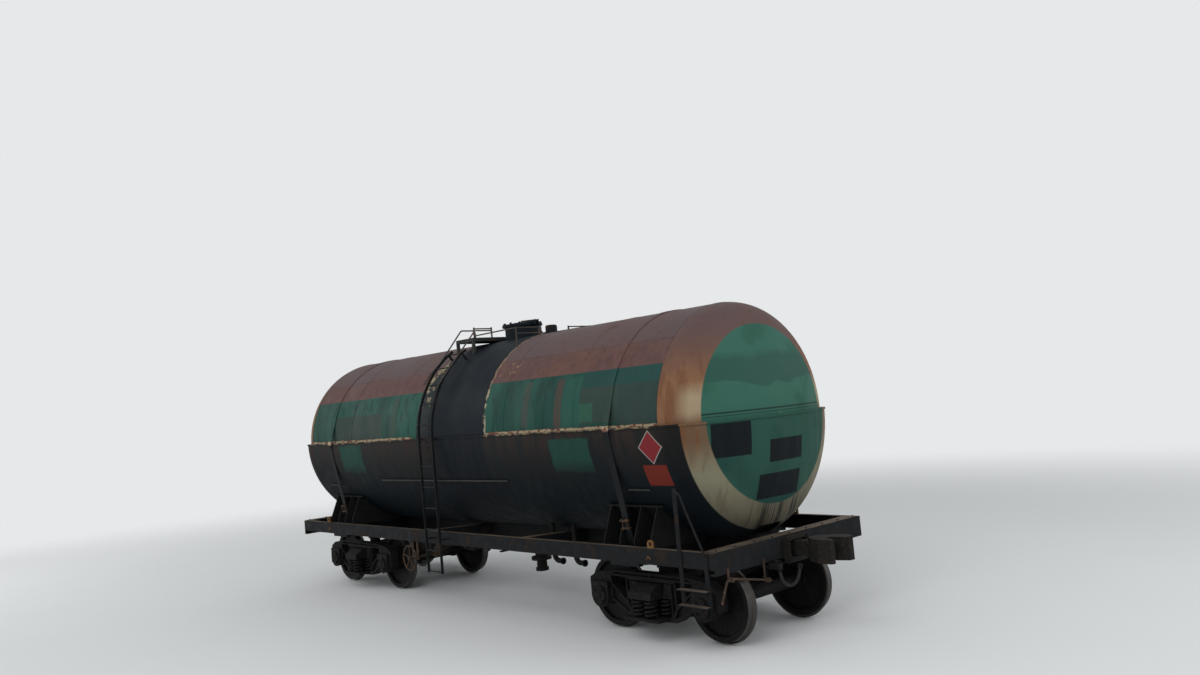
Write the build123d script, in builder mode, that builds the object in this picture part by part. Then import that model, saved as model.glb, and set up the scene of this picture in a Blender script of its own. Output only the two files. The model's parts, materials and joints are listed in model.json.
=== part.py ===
from build123d import *
import math
import os

# Four-axle railway tank car with a steam jacket round the lower half of its tank.
# Millimetres, +X towards the end with the corner step on the near side, near side at -Y,
# Z = 0 at the tips of the wheel flanges. Heights "above rail" start at the flange depth.

os.makedirs("parts", exist_ok=True)

# Clearances: a welded or bolted seat, a pin in its hole, and parts that swing past each other
seat_gap = 0.3
pin_gap = 0.5
swing_gap = 8

# Half the frame's length over its end beams, and the tank's radius: the other lengths along
# and across the car follow these two
frame_half = 5400
shell_r = 1500

# Wheels and axles
flange_depth = 28
tread_r = 475
wheel_back = 720
wheel_width = 130
axle_r = 82
wheel_seat_r = 97
journal_r = 65
hub_inside = wheel_back - 15
hub_outside = wheel_back + 165
journal_half_span = hub_outside + 133
axle_half_length = journal_half_span + 122
wheelbase = 1850
bogie_x = frame_half - 1500
axle_z = tread_r + flange_depth
rail = flange_depth

# Tank and its steam jacket
tank_z = rail + 1212 + shell_r
shell_wall = 11
barrel_half = frame_half - 700
head_depth = 680
head_knuckle = 430
jacket_depth = 60
jacket_gap_half_width = 230
jacket_rim_height = 26
jacket_rim_proud = 14
jacket_bar_size = 22
jacket_bar_z = tank_z - 677
jacket_bar_ends = (-bogie_x + 1650, bogie_x - 2450)
shelf_bar_z = tank_z - 782
shelf_bar_length = 490

# Manhole, its lid and the safety valve
hatch_x = 255
neck_r = 290
neck_wall = 10
neck_flange_r = 335
neck_flange_thick = 24
hatch_top = tank_z + shell_r + 213
lid_thick = 16
lid_dome = 38
lid_pin_r = 12
lid_arm_width = 46
lid_arm_thick = 22
lid_ear_thick = 14
lid_pin_out = 48
valve_x = 1010
valve_r = 95
valve_height = 132

# Platform at the top of the tank
deck_top = tank_z + shell_r + 63
deck_ends = (-620, -120)
deck_half_width = shell_r / 2
deck_thick = 6
deck_edge = 60
deck_leg = 45
railing_r = 14
railing_bar_r = 11
railing_top = deck_top + 170
railing_mid = deck_top + 117
railing_post_y = (deck_half_width - 50, 350)
long_rail_z = deck_top + 30
end_frame_x = 1080
end_frame_y = (deck_half_width + 10, 300)
end_frame_low = deck_top - 60

# Side ladders and their handrails
ladder_ends = (-580, -170)
ladder_y = shell_r + 125
ladder_bar = 42
ladder_bar_thick = 12
ladder_foot_z = rail + 600
ladder_top_angle = 58
rung_r = 11
rung_pitch = 330
handrail_r = 13
rod_bend = 60

# Frame
frame_half_width = shell_r - 25
sill_top = rail + 1222
sill_depth = 196
sill_end_depth = 240
sill_flange = 76
sill_wall = 10
sill_deep_x = (bogie_x - 280, bogie_x + 240)
centre_sill_top = rail + 1200
centre_sill_half_width = 175
centre_sill_depth = 310
centre_sill_wall = 14
centre_sill_foot = 85
end_beam_depth = 262
end_beam_flange = 90
cross_beam_x = (-930, bogie_x - 2300)
cross_beam_width = 150
cross_beam_depth = 170
bolster_width = 460
beam_root_top = rail + 1150
beam_shoulder_y = 250
bolster_knee_y = frame_half_width - 475
bolster_knee_z = rail + 935
bearer_y_centre = 762
bearer_half = 90
bearer_z = rail + 834

# Saddles and tie bands
saddle_width = 860
saddle_top_z = tank_z - 0.671 * shell_r
saddle_shelf_width = 1020
saddle_plate = 16
saddle_half_y = 0.83 * shell_r
saddle_inside_y = 420
saddle_foot_y = frame_half_width - 55
saddle_foot_height = 70
saddle_web_x = (-430, -141, 125, 414)
band_x = bogie_x - 50
band_width = 110
band_thick = 10
band_foot_y = frame_half_width - 190
band_leaves_crown = 14
band_meets_jacket = 5

# Bogies
side_frame_thick = 150
side_frame_rib = 24
side_frame_pocket = 44
centre_plate_r = 150
centre_plate_z = rail + 806
swivel_limit = 4
spring_r = 98
spring_z = (rail + 288, rail + 520)

hub_r = 133
rim_inside_r = 395
journal_gap = 0.6
box_r = 165
box_inside_y = journal_half_span - 113
box_outside_y = journal_half_span + 132
box_cover_r = 122
box_cover_y = journal_half_span + 157
pedestal_top = rail + 655

# Half outline of a side frame, and one of its lights: distance from the bogie's centre and
# height above rail; then its spring opening as half width, bottom and top
axle_x_half = wheelbase / 2
frame_window = (355, 288, 715)
frame_outline = (
    (0, 815),
    (axle_x_half - 285, 815),
    (axle_x_half + 85, 770),
    (axle_x_half + 235, 690),
    (axle_x_half + 235, 430),
    (axle_x_half + 170, 420),
    (axle_x_half + 170, 655),
    (axle_x_half - 170, 655),
    (axle_x_half - 170, 430),
    (axle_x_half - 225, 400),
    (frame_window[0] + 75, 235),
    (0, 215),
)
frame_light = (
    (frame_window[0] + 95, 740),
    (axle_x_half - 190, 740),
    (axle_x_half - 190, 660),
    (axle_x_half - 235, 620),
    (frame_window[0] + 95, 430),
)

# Pockets cast into both faces of a side frame, same measures: along the top chord, in the
# column beside the spring opening and along the slanting lower chord
frame_pockets = (
    ((14, 791), (axle_x_half - 287, 791), (axle_x_half - 190, 764), (14, 764)),
    (
        (frame_window[0] + side_frame_rib, 715),
        (frame_window[0] + 95 - side_frame_rib, 715),
        (frame_window[0] + 95 - side_frame_rib, 400),
        (frame_window[0] + side_frame_rib, 330),
    ),
    (
        (frame_window[0] + 110, 400),
        (axle_x_half - 240, 590),
        (axle_x_half - 200, 590),
        (axle_x_half - 200, 440),
        (axle_x_half - 240, 420),
        (frame_window[0] + 100, 300),
        (frame_window[0] + 50, 290),
    ),
)

# Half outline of a bogie's bolster, across the car and above rail
bogie_bolster_outline = (
    (0, 478),
    (430, 478),
    (journal_half_span - 288, 521),
    (journal_half_span + 274, 521),
    (journal_half_span + 274, 610),
    (journal_half_span + 132, 700),
    (journal_half_span - 138, 712),
    (620, 756),
    (330, 772),
    (0, 772),
)
bogie_bolster_width = 400
bogie_bolster_top = rail + 772
bowl_wall = 34
bowl_rim_z = rail + 832
wedge_width = 140
wedge_height = 180
spring_inside_r = 62
spring_row_pitch = 174
spring_pitch = 202
seat_half_x = 318
seat_half_y = 284
seat_thick = 30

# Brake gear on the bogies
brake_beam_x = wheelbase / 2 - 530
brake_beam_z = rail + 415
brake_beam_r = 24
brake_strut_x = bogie_bolster_width / 2 + 100
brake_lever_half = 20
brake_lever_top = rail + 775
brake_tie_z = rail + 290
shoe_y = (wheel_back + 38, wheel_back + 120)
shoe_gap = 8
shoe_thick = 52
shoe_height = 300
hanger_set_in = 62

# Couplers
coupler_z = rail + 1060
coupler_pivot_x = frame_half - 320
coupler_face_x = frame_half + 610
coupler_limit = 6
shank_half_width = 65
shank_half_height = 88
tail_r = 78
coupler_pin_r = 42
head_half_height = 140
lock_half_height = 95
yoke_half_height = 124
yoke_strap = 28
yoke_back_x = frame_half - 1070
striker_depth = 72
striker_half_y = 215
striker_inside_y = 158
striker_inside_z = 102
striker_low_z = rail + 890
striker_high_z = rail + 1205
lever_x = frame_half + 52
lever_r = 13

# Drain and steam pipes
drain_r = 100
drain_valve_z = rail + 600
drain_foot_z = rail + 395
drain_cap_r = 84
drain_cap_lug = 26
drain_flange_r = 165
steam_pipe_x = (bogie_x - 2500, bogie_x - 2000)
steam_pipe_y = -620
steam_pipe_z = rail + 740
steam_pipe_r = 38
steam_stub = 200
steam_flange = 22
steam_bore_r = 25
steam_bore_length = 60

# Air brake
train_pipe_r = 21
train_pipe_y = 470
train_pipe_z = rail + 905
train_pipe_dip_z = rail + 860
train_pipe_hangers = (
    (-frame_half + 700, 1),
    (-bogie_x + 2400, 1),
    (bogie_x - 2400, 1),
    (frame_half - 700, -1),
)
hanger_thick = 6
cock_half = 34
cock_reach = 144
hose_r = 20
hose_plane_x = frame_half + 110
hose_start_turn = -80
hose_turn = 25
hose_run = 84
hose_runs = 7
nipple_length = 62
hose_head_r = 30
hose_head_length = 62
cylinder_ends = (-bogie_x + 1250, -bogie_x + 1800)
cylinder_y = 400
cylinder_z = rail + 732
cylinder_r = 178
cylinder_flange = 22
reservoir_ends = (-bogie_x + 1300, -bogie_x + 2100)
reservoir_z = rail + 712
reservoir_r = 158
distributor_x = -bogie_x + 2700
distributor_y = 340
distributor_z = rail + 700
brake_lever_x = -bogie_x + 1950
fulcrum_x = -300
rod_lever_half = 34
pull_rod_end = bogie_x - brake_strut_x - 40
rod_z = cylinder_z
rod_r = 15
rod_hangers = (-bogie_x + 1000, bogie_x - 2300)

# Parking brake
handwheel_x = -1271
handwheel_y = frame_half_width + 75
handwheel_z = rail + 764
handwheel_r = 215
handwheel_rim_r = 14
handwheel_spokes = 5
handbrake_inside_y = frame_half_width - 435
handbrake_hanger_y = frame_half_width - 38

# Corner steps and towing eyes
step_ends = (frame_half - 565, frame_half - 100)
step_bar = 60
step_bar_thick = 12
step_foot_z = rail + 600
step_levels = (rail + 600, rail + 780)
step_tread_y = frame_half_width + 95
grab_top_z = rail + 1956
eye_x = frame_half - 1045
eye_inset = 24
eye_thick = 26
eye_outer_r = 50
eye_inner_r = 27
eye_z = sill_top + 51


def dished_outline(radius, half, depth, knuckle):
    # Upper half outline of a tank with two dished ends: a straight barrel, and at each
    # end a knuckle arc that runs into a crown arc, closed along the axis
    crown = (depth**2 + (radius - knuckle) ** 2 - knuckle**2) / (2 * (depth - knuckle))
    centre = half + depth - crown
    turn = math.atan2(radius - knuckle, half - centre)
    Line((-half, radius), (half, radius))
    for end in (1, -1):
        middle = (turn + math.pi / 2) / 2
        join = (end * (centre + crown * math.cos(turn)), crown * math.sin(turn))
        knuckle_middle = (
            end * (half + knuckle * math.cos(middle)),
            radius - knuckle + knuckle * math.sin(middle),
        )
        crown_middle = (
            end * (centre + crown * math.cos(turn / 2)),
            crown * math.sin(turn / 2),
        )
        ThreePointArc((end * half, radius), knuckle_middle, join)
        ThreePointArc(join, crown_middle, (end * (half + depth), 0))
    Line((-half - depth, 0), (half + depth, 0))


def grown_outline(gap):
    dished_outline(shell_r + gap, barrel_half, head_depth + gap, head_knuckle + gap)


def add_rod(start, end, radius):
    # Round rod between two points, added to the part being built
    run = Vector(*end) - Vector(*start)
    with Locations(Plane(origin=start, z_dir=run)):
        Cylinder(radius, run.length, align=(Align.CENTER, Align.CENTER, Align.MIN))


def add_box(x, y, z, mode=Mode.ADD):
    # Box from low and high limits on each axis, added to the part being built
    with Locations(((x[0] + x[1]) / 2, (y[0] + y[1]) / 2, (z[0] + z[1]) / 2)):
        Box(x[1] - x[0], y[1] - y[0], z[1] - z[0], mode=mode)


def cut_tank(radius):
    # Takes the tank's barrel, at a given radius, away from the part being built
    with Locations((0, 0, tank_z)):
        Cylinder(radius, 2 * barrel_half, rotation=(0, 90, 0), mode=Mode.SUBTRACT)


def finish(piece, name):
    piece.part.label = name
    export_step(piece.part, "parts/" + name + ".step")


def saddle_foot_z(y):
    # Height of the bolster's top at a distance from the middle, plus the seat
    rise = (beam_tip_top - beam_root_top) / (beam_tip_y - beam_shoulder_y)
    return beam_root_top + rise * (y - beam_shoulder_y) + seat_gap


tank_axis = Axis((0, 0, tank_z), (1, 0, 0))
tank_back_axis = Axis((0, 0, tank_z), (-1, 0, 0))
tank_level = Plane.XY.offset(tank_z)
tank_side = Plane(origin=(0, 0, tank_z), x_dir=(1, 0, 0), z_dir=(0, -1, 0))
tank_cross = Plane(origin=(0, 0, tank_z), x_dir=(0, 1, 0), z_dir=(1, 0, 0))

# Tank barrel, with the manhole cut through its crown
with BuildPart() as barrel:
    with BuildSketch(Plane(origin=(-barrel_half, 0, tank_z), x_dir=(0, 1, 0), z_dir=(1, 0, 0))):
        Circle(shell_r)
        Circle(shell_r - shell_wall, mode=Mode.SUBTRACT)
    extrude(amount=2 * barrel_half)
    with BuildSketch(Plane(origin=(hatch_x, 0, tank_z))):
        Circle(neck_r - neck_wall)
    extrude(amount=shell_r + shell_wall, mode=Mode.SUBTRACT)
finish(barrel, "tank_barrel")

# Dished heads, one at each end
with BuildPart() as heads:
    with BuildSketch(tank_side):
        with BuildLine():
            grown_outline(0)
        make_face()
        with BuildLine():
            grown_outline(-shell_wall)
        make_face(mode=Mode.SUBTRACT)
        Rectangle(2 * (barrel_half + seat_gap), 2 * shell_r, mode=Mode.SUBTRACT)
    revolve(axis=tank_axis)
finish(heads, "tank_heads")

# Steam jacket: a second skin on the lower half, closed by a rim at the tank's waist
with BuildPart() as jacket:
    with BuildSketch(tank_side):
        with BuildLine():
            grown_outline(jacket_depth)
        make_face()
    revolve(axis=tank_axis)
    split(bisect_by=tank_level.offset(-jacket_rim_height), keep=Keep.BOTTOM)
    with BuildSketch(tank_level.offset(-jacket_rim_height)):
        with BuildLine():
            grown_outline(jacket_depth + jacket_rim_proud)
        make_face()
        mirror(about=Plane.XZ)
    extrude(amount=jacket_rim_height)
    with BuildSketch(tank_side):
        with BuildLine():
            grown_outline(seat_gap)
        make_face()
    revolve(axis=tank_axis, mode=Mode.SUBTRACT)
    with Locations((0, 0, tank_z - shell_r)):
        Box(
            2 * (barrel_half + head_depth + jacket_depth),
            2 * jacket_gap_half_width,
            4 * jacket_depth,
            mode=Mode.SUBTRACT,
        )
finish(jacket, "steam_jacket")

# Bars along the jacket's sides: a long one amidships and a short one outboard of each band
with BuildPart() as jacket_bars:
    for side in (-1, 1):
        for low, high, level in (
            (jacket_bar_ends[0], jacket_bar_ends[1], jacket_bar_z),
            (band_x + band_width, band_x + shelf_bar_length, shelf_bar_z),
            (-band_x - shelf_bar_length, -band_x - band_width, shelf_bar_z),
        ):
            reach = math.sqrt((shell_r + jacket_depth) ** 2 - (tank_z - level) ** 2)
            edges = sorted((side * (reach - jacket_bar_size), side * (reach + jacket_bar_size)))
            add_box((low, high), edges, (level - jacket_bar_size, level))
    cut_tank(shell_r + jacket_depth + seat_gap)
finish(jacket_bars, "jacket_bars")

# Manhole neck with its top flange and the two ears that carry the lid's pin
lid_pin_x = hatch_x + neck_flange_r + lid_pin_out
lid_pin_z = hatch_top + lid_thick + lid_pin_r + 6
ear_inside = lid_arm_width / 2 + pin_gap
with BuildPart() as neck:
    with BuildSketch(Plane(origin=(hatch_x, 0, tank_z))):
        Circle(neck_r)
    extrude(amount=hatch_top - tank_z)
    with BuildSketch(Plane(origin=(hatch_x, 0, hatch_top - neck_flange_thick))):
        Circle(neck_flange_r)
    extrude(amount=neck_flange_thick)
    for side in (-1, 1):
        ear_y = sorted((side * ear_inside, side * (ear_inside + lid_ear_thick)))
        add_box(
            (lid_pin_x - 2 * lid_pin_out, lid_pin_x + 2 * lid_pin_r),
            ear_y,
            (hatch_top - neck_flange_thick, hatch_top),
        )
        add_box(
            (lid_pin_x - 2 * lid_pin_r, lid_pin_x + 2 * lid_pin_r),
            ear_y,
            (hatch_top - neck_flange_thick, lid_pin_z + 2 * lid_pin_r),
        )
    with Locations((lid_pin_x, 0, lid_pin_z)):
        Cylinder(lid_pin_r, 2 * (ear_inside + lid_ear_thick), rotation=(90, 0, 0))
    with BuildSketch(Plane(origin=(hatch_x, 0, tank_z))):
        Circle(neck_r - neck_wall)
    extrude(amount=hatch_top - tank_z, mode=Mode.SUBTRACT)
    cut_tank(shell_r + seat_gap)
finish(neck, "manhole_neck")

# Domed lid with its hinge arm
dome_r = neck_r - 20
dome_sphere_r = (dome_r**2 + lid_dome**2) / (2 * lid_dome)
dome_half_angle = math.asin(dome_r / dome_sphere_r) / 2
with BuildPart() as lid:
    lid_seat = hatch_top + seat_gap
    with BuildSketch(Plane(origin=(hatch_x, 0, lid_seat), x_dir=(1, 0, 0), z_dir=(0, -1, 0))):
        with BuildLine():
            Polyline(
                (0, lid_thick + lid_dome),
                (0, 0),
                (neck_flange_r - 5, 0),
                (neck_flange_r - 5, lid_thick),
                (dome_r, lid_thick),
            )
            ThreePointArc(
                (dome_r, lid_thick),
                (
                    dome_sphere_r * math.sin(dome_half_angle),
                    lid_thick + lid_dome - dome_sphere_r * (1 - math.cos(dome_half_angle)),
                ),
                (0, lid_thick + lid_dome),
            )
        make_face()
    revolve(axis=Axis((hatch_x, 0, 0), (0, 0, 1)))
    with BuildSketch(Plane(origin=(0, lid_arm_width / 2, 0), x_dir=(1, 0, 0), z_dir=(0, -1, 0))):
        with Locations((lid_pin_x, lid_pin_z)):
            Circle(2 * lid_pin_r)
        with BuildLine():
            Polyline(
                (hatch_x, lid_seat + lid_thick),
                (lid_pin_x, lid_pin_z - lid_pin_r),
                (lid_pin_x, lid_pin_z + 2 * lid_pin_r),
                (hatch_x, lid_seat + lid_thick + lid_dome + lid_arm_thick),
                close=True,
            )
        make_face()
        with Locations((lid_pin_x, lid_pin_z)):
            Circle(lid_pin_r + pin_gap, mode=Mode.SUBTRACT)
    extrude(amount=lid_arm_width)
finish(lid, "manhole_lid")

# Safety valve beside the manhole
valve_top = tank_z + shell_r + valve_height
with BuildPart() as valve:
    with BuildSketch(Plane(origin=(valve_x, 0, tank_z + shell_r / 2))):
        Circle(valve_r)
    extrude(amount=valve_top - tank_z - shell_r / 2)
    fillet(valve.edges().group_by(Axis.Z)[-1], radius=valve_r / 3)
    with BuildSketch(Plane(origin=(valve_x, 0, tank_z + shell_r / 2))):
        Circle(valve_r + 30)
    extrude(amount=shell_r / 2 + 22)
    cut_tank(shell_r + seat_gap)
finish(valve, "safety_valve")

# Walkway across the tank, beside the manhole, on four legs
with BuildPart() as deck:
    wide = (-deck_half_width, deck_half_width)
    add_box(deck_ends, wide, (deck_top - deck_thick, deck_top))
    for x in (deck_ends[0], deck_ends[1] - deck_thick):
        add_box((x, x + deck_thick), wide, (deck_top - deck_edge, deck_top))
    for y in (-deck_half_width, deck_half_width - deck_thick):
        add_box(deck_ends, (y, y + deck_thick), (deck_top - deck_edge, deck_top))
    for x in (deck_ends[0], deck_ends[1] - deck_leg):
        for y in (-deck_half_width, deck_half_width - deck_leg):
            add_box((x, x + deck_leg), (y, y + deck_leg), (tank_z + shell_r / 2, deck_top - 1))
    cut_tank(shell_r + seat_gap)
finish(deck, "platform_deck")

# Railings: posts and bars on the walkway, a long rail past the manhole to an end frame,
# and the two handrails that lead up from each ladder
post_x = deck_ends[1] - 22
rail_a_x = deck_ends[0] + 20
handrail_a = (
    (rail_a_x, -0.9613 * shell_r, tank_z + 0.5733 * shell_r),
    (rail_a_x, -0.8633 * shell_r, tank_z + 0.6880 * shell_r),
    (rail_a_x, -0.7393 * shell_r, tank_z + 0.7920 * shell_r),
    (rail_a_x, -0.4313 * shell_r, deck_top + 164),
    (rail_a_x, -0.2427 * shell_r, deck_top + 161),
    (rail_a_x, -0.2427 * shell_r, deck_top + seat_gap),
)
handrail_b = (
    (post_x, -1.0153 * shell_r, tank_z + 0.5020 * shell_r),
    (post_x, -0.8767 * shell_r, tank_z + 0.6647 * shell_r),
    (post_x, -railing_post_y[0], deck_top + 98),
)
with BuildPart() as railings:
    for y in railing_post_y:
        add_rod((post_x, -y, deck_top + seat_gap), (post_x, -y, railing_top), railing_r)
    for level in (railing_mid, railing_top - 2 * railing_bar_r):
        add_rod((post_x, -railing_post_y[0], level), (post_x, -railing_post_y[1], level), railing_bar_r)
    corner = (end_frame_x, -end_frame_y[0], long_rail_z)
    add_rod((post_x, -railing_post_y[0], long_rail_z), corner, railing_bar_r)
    for level in (end_frame_low, long_rail_z):
        start = (end_frame_x, -end_frame_y[0], level)
        add_rod(start, (end_frame_x, -end_frame_y[1], level), railing_bar_r - 1)
    for y in end_frame_y:
        low = (end_frame_x, -y, tank_z + shell_r / 2)
        add_rod(low, (end_frame_x, -y, long_rail_z + railing_r), railing_r)
    for points in (handrail_a, handrail_b):
        with BuildLine() as rail_path:
            FilletPolyline(*points, radius=rod_bend)
        with BuildSketch(Plane(origin=rail_path.line @ 0, z_dir=rail_path.line % 0)):
            Circle(handrail_r - 1)
        sweep()
    cut_tank(shell_r + seat_gap)
    mirror(about=Plane.XZ)
finish(railings, "railings")

# Side ladders: straight up to the tank's waist, then round it to the walkway
with BuildPart() as ladders:
    inner = ladder_y - ladder_bar / 2
    outer = ladder_y + ladder_bar / 2
    foot = ladder_foot_z - tank_z
    top_angle = math.radians(ladder_top_angle)
    for x in (ladder_ends[0], ladder_ends[1] - ladder_bar_thick):
        with BuildSketch(Plane(origin=(x, 0, tank_z), x_dir=(0, 1, 0), z_dir=(1, 0, 0))):
            with BuildLine():
                CenterArc((0, 0), outer, 180, -ladder_top_angle)
                CenterArc((0, 0), inner, 180, -ladder_top_angle)
                Line(
                    (-outer * math.cos(top_angle), outer * math.sin(top_angle)),
                    (-inner * math.cos(top_angle), inner * math.sin(top_angle)),
                )
                Polyline((-outer, 0), (-outer, foot), (-inner, foot), (-inner, 0))
            make_face()
            # feet to the side sill, the jacket's rim and the tank's crown
            for low, high, level in (
                (frame_half_width + seat_gap, ladder_y, sill_top - tank_z - sill_depth / 2),
                (
                    shell_r + jacket_depth + jacket_rim_proud + seat_gap,
                    ladder_y,
                    -jacket_rim_height / 2,
                ),
            ):
                with Locations((-(low + high) / 2, level)):
                    Rectangle(high - low, jacket_rim_height)
            with Locations(
                Location(
                    (-shell_r * math.cos(top_angle * 0.94), shell_r * math.sin(top_angle * 0.94)),
                    -ladder_top_angle * 0.94,
                )
            ):
                Rectangle(2 * (ladder_y - shell_r), ladder_bar)
        extrude(amount=ladder_bar_thick)
    cut_tank(shell_r + seat_gap)
    level = ladder_foot_z + 2 * rung_r
    while level < tank_z:
        add_rod((ladder_ends[0] + 1, -ladder_y, level), (ladder_ends[1] - 1, -ladder_y, level), rung_r)
        level = level + rung_pitch
    angle = (level - tank_z) / ladder_y
    while angle < top_angle:
        y = -ladder_y * math.cos(angle)
        z = tank_z + ladder_y * math.sin(angle)
        add_rod((ladder_ends[0] + 1, y, z), (ladder_ends[1] - 1, y, z), rung_r)
        angle = angle + rung_pitch / ladder_y
    mirror(about=Plane.XZ)
finish(ladders, "side_ladders")


def band_outline(grow):
    # Closed outline of the loop that a tie band makes, seen along the car: round the
    # crown, out over the jacket's rim, back to the jacket and straight down to its feet
    crown = shell_r + seat_gap + grow
    rim = shell_r + jacket_depth + jacket_rim_proud + seat_gap + grow
    low = shell_r + jacket_depth + seat_gap + grow
    foot = sill_top + seat_gap - tank_z
    reach = math.hypot(band_foot_y, foot)
    leave = math.atan2(-foot, band_foot_y) - math.acos((shell_r + jacket_depth) / reach)
    run = -(foot + low * math.sin(leave)) / math.cos(leave)
    foot_y = low * math.cos(leave) - run * math.sin(leave)
    start = math.radians(band_leaves_crown)
    touch = math.radians(band_meets_jacket)
    CenterArc((0, 0), crown, band_leaves_crown, 180 - 2 * band_leaves_crown)
    for side in (-1, 1):
        Polyline(
            (side * crown * math.cos(start), crown * math.sin(start)),
            (side * rim, jacket_rim_height / 2),
            (side * rim, -1.5 * jacket_rim_height),
            (side * low * math.cos(touch), -low * math.sin(touch)),
        )
        middle = (touch + leave) / 2
        ThreePointArc(
            (side * low * math.cos(touch), -low * math.sin(touch)),
            (side * low * math.cos(middle), -low * math.sin(middle)),
            (side * low * math.cos(leave), -low * math.sin(leave)),
        )
        Line((side * low * math.cos(leave), -low * math.sin(leave)), (side * foot_y, foot))
    Line((-foot_y, foot), (foot_y, foot))


# Tie bands over the tank at the saddles
with BuildPart() as bands:
    for x in (-band_x, band_x):
        with BuildSketch(Plane(origin=(x - band_width / 2, 0, tank_z), x_dir=(0, 1, 0), z_dir=(1, 0, 0))):
            with BuildLine():
                band_outline(band_thick)
            make_face()
            with BuildLine():
                band_outline(0)
            make_face(mode=Mode.SUBTRACT)
        extrude(amount=band_width)
finish(bands, "tie_bands")


def sill_section(bottom):
    # Channel section of a side sill, open towards the middle of the car
    for side in (-1, 1):
        outside = side * frame_half_width
        middle = (sill_top + bottom) / 2
        with Locations((outside - side * sill_wall / 2, middle)):
            Rectangle(sill_wall, sill_top - bottom)
        for level in (bottom + sill_wall / 2, sill_top - sill_wall / 2):
            with Locations((outside - side * sill_flange / 2, level)):
                Rectangle(sill_flange, sill_wall)


def cross_plane(x):
    # Plane across the car at a given X, with Y to the right and Z up
    return Plane(origin=(x, 0, 0), x_dir=(0, 1, 0), z_dir=(1, 0, 0))


def side_plane(y, x=0):
    # Plane along the car at a given Y, with X to the right and Z up, facing -Y
    return Plane(origin=(x, y, 0), x_dir=(1, 0, 0), z_dir=(0, -1, 0))


# Side sills: channels, deeper where the bolsters meet them
sill_end = frame_half - sill_wall - seat_gap
with BuildPart() as side_sills:
    for start, end, depth in (
        (-sill_end, -sill_deep_x[1], sill_depth),
        (-sill_deep_x[1], -sill_deep_x[0], sill_end_depth),
        (-sill_deep_x[0], sill_deep_x[0], sill_depth),
        (sill_deep_x[0], sill_deep_x[1], sill_end_depth),
        (sill_deep_x[1], sill_end, sill_depth),
    ):
        with BuildSketch(cross_plane(start)):
            sill_section(sill_top - depth)
        extrude(amount=end - start)
finish(side_sills, "side_sills")

# Centre sill: two Z sections welded along their top flanges, open below
centre_sill_bottom = centre_sill_top - centre_sill_depth
drain_hole_r = drain_r + 15
with BuildPart() as centre_sill:
    with BuildSketch(cross_plane(-sill_end)):
        with Locations((0, centre_sill_top - centre_sill_wall / 2)):
            Rectangle(2 * centre_sill_half_width, centre_sill_wall)
        for side in (-1, 1):
            web = side * (centre_sill_half_width - centre_sill_wall / 2)
            with Locations((web, centre_sill_top - centre_sill_depth / 2)):
                Rectangle(centre_sill_wall, centre_sill_depth)
            foot = side * (centre_sill_half_width + centre_sill_foot / 2 - centre_sill_wall / 2)
            with Locations((foot, centre_sill_bottom + centre_sill_wall / 2)):
                Rectangle(centre_sill_foot + centre_sill_wall, centre_sill_wall)
    extrude(amount=2 * sill_end)
    with BuildSketch(Plane(origin=(hatch_x, 0, centre_sill_bottom))):
        Circle(drain_hole_r)
    extrude(amount=centre_sill_depth, mode=Mode.SUBTRACT)
finish(centre_sill, "centre_sill")

# End beams, with a window for the coupler's shank
sill_foot_y = centre_sill_half_width + centre_sill_foot
end_beam_bottom = sill_top - end_beam_depth
with BuildPart() as end_beams:
    for side in (-1, 1):
        face_x = side * frame_half
        web_x = sorted((face_x, face_x - side * sill_wall))
        flange_x = sorted((face_x, face_x - side * end_beam_flange))
        full = (-frame_half_width, frame_half_width)
        between = frame_half_width - sill_flange - seat_gap
        add_box(web_x, full, (end_beam_bottom, sill_top))
        add_box(flange_x, (-between, between), (sill_top - sill_wall, sill_top))
        for y in ((-frame_half_width, -sill_foot_y - swing_gap), (sill_foot_y + swing_gap, frame_half_width)):
            add_box(flange_x, y, (end_beam_bottom, end_beam_bottom + sill_wall))
        window_y = (-striker_inside_y, striker_inside_y)
        add_box(web_x, window_y, (end_beam_bottom, coupler_z + striker_inside_z), mode=Mode.SUBTRACT)
finish(end_beams, "end_beams")

# Body bolsters over the bogies: box sections that taper towards the side sills, with the
# centre plates and side bearers below them
beam_root_y = centre_sill_half_width + seat_gap
beam_tip_y = frame_half_width - sill_wall - seat_gap
beam_tip_top = sill_top - sill_wall - seat_gap
beam_flange_y = frame_half_width - sill_flange - swing_gap
with BuildPart() as bolster_beams:
    for x in (-bogie_x, bogie_x):
        for side in (-1, 1):
            with BuildSketch(cross_plane(x - bolster_width / 2)):
                with BuildLine():
                    Polyline(
                        (side * beam_root_y, beam_root_top),
                        (side * beam_shoulder_y, beam_root_top),
                        (side * beam_tip_y, beam_tip_top),
                        (side * beam_tip_y, sill_top - sill_end_depth + sill_wall + seat_gap),
                        (side * beam_flange_y, sill_top - sill_end_depth + sill_wall + seat_gap),
                        (side * bolster_knee_y, bolster_knee_z),
                        (side * beam_root_y, bolster_knee_z),
                        close=True,
                    )
                make_face()
            extrude(amount=bolster_width)
            bearer_y = sorted((side * (bearer_y_centre - bearer_half), side * (bearer_y_centre + bearer_half)))
            add_box((x - bearer_half, x + bearer_half), bearer_y, (bearer_z + swing_gap, bolster_knee_z + 1))
finish(bolster_beams, "bolster_beams")

with BuildPart() as centre_plates:
    for x in (-bogie_x, bogie_x):
        flange = (x - sill_foot_y, x + sill_foot_y)
        add_box(
            flange,
            (-sill_foot_y, sill_foot_y),
            (centre_sill_bottom - seat_gap - sill_wall, centre_sill_bottom - seat_gap),
        )
        with BuildSketch(Plane(origin=(x, 0, centre_plate_z + seat_gap))):
            Circle(centre_plate_r)
        extrude(amount=centre_sill_bottom - centre_plate_z - sill_wall)
finish(centre_plates, "centre_plates")

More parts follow.
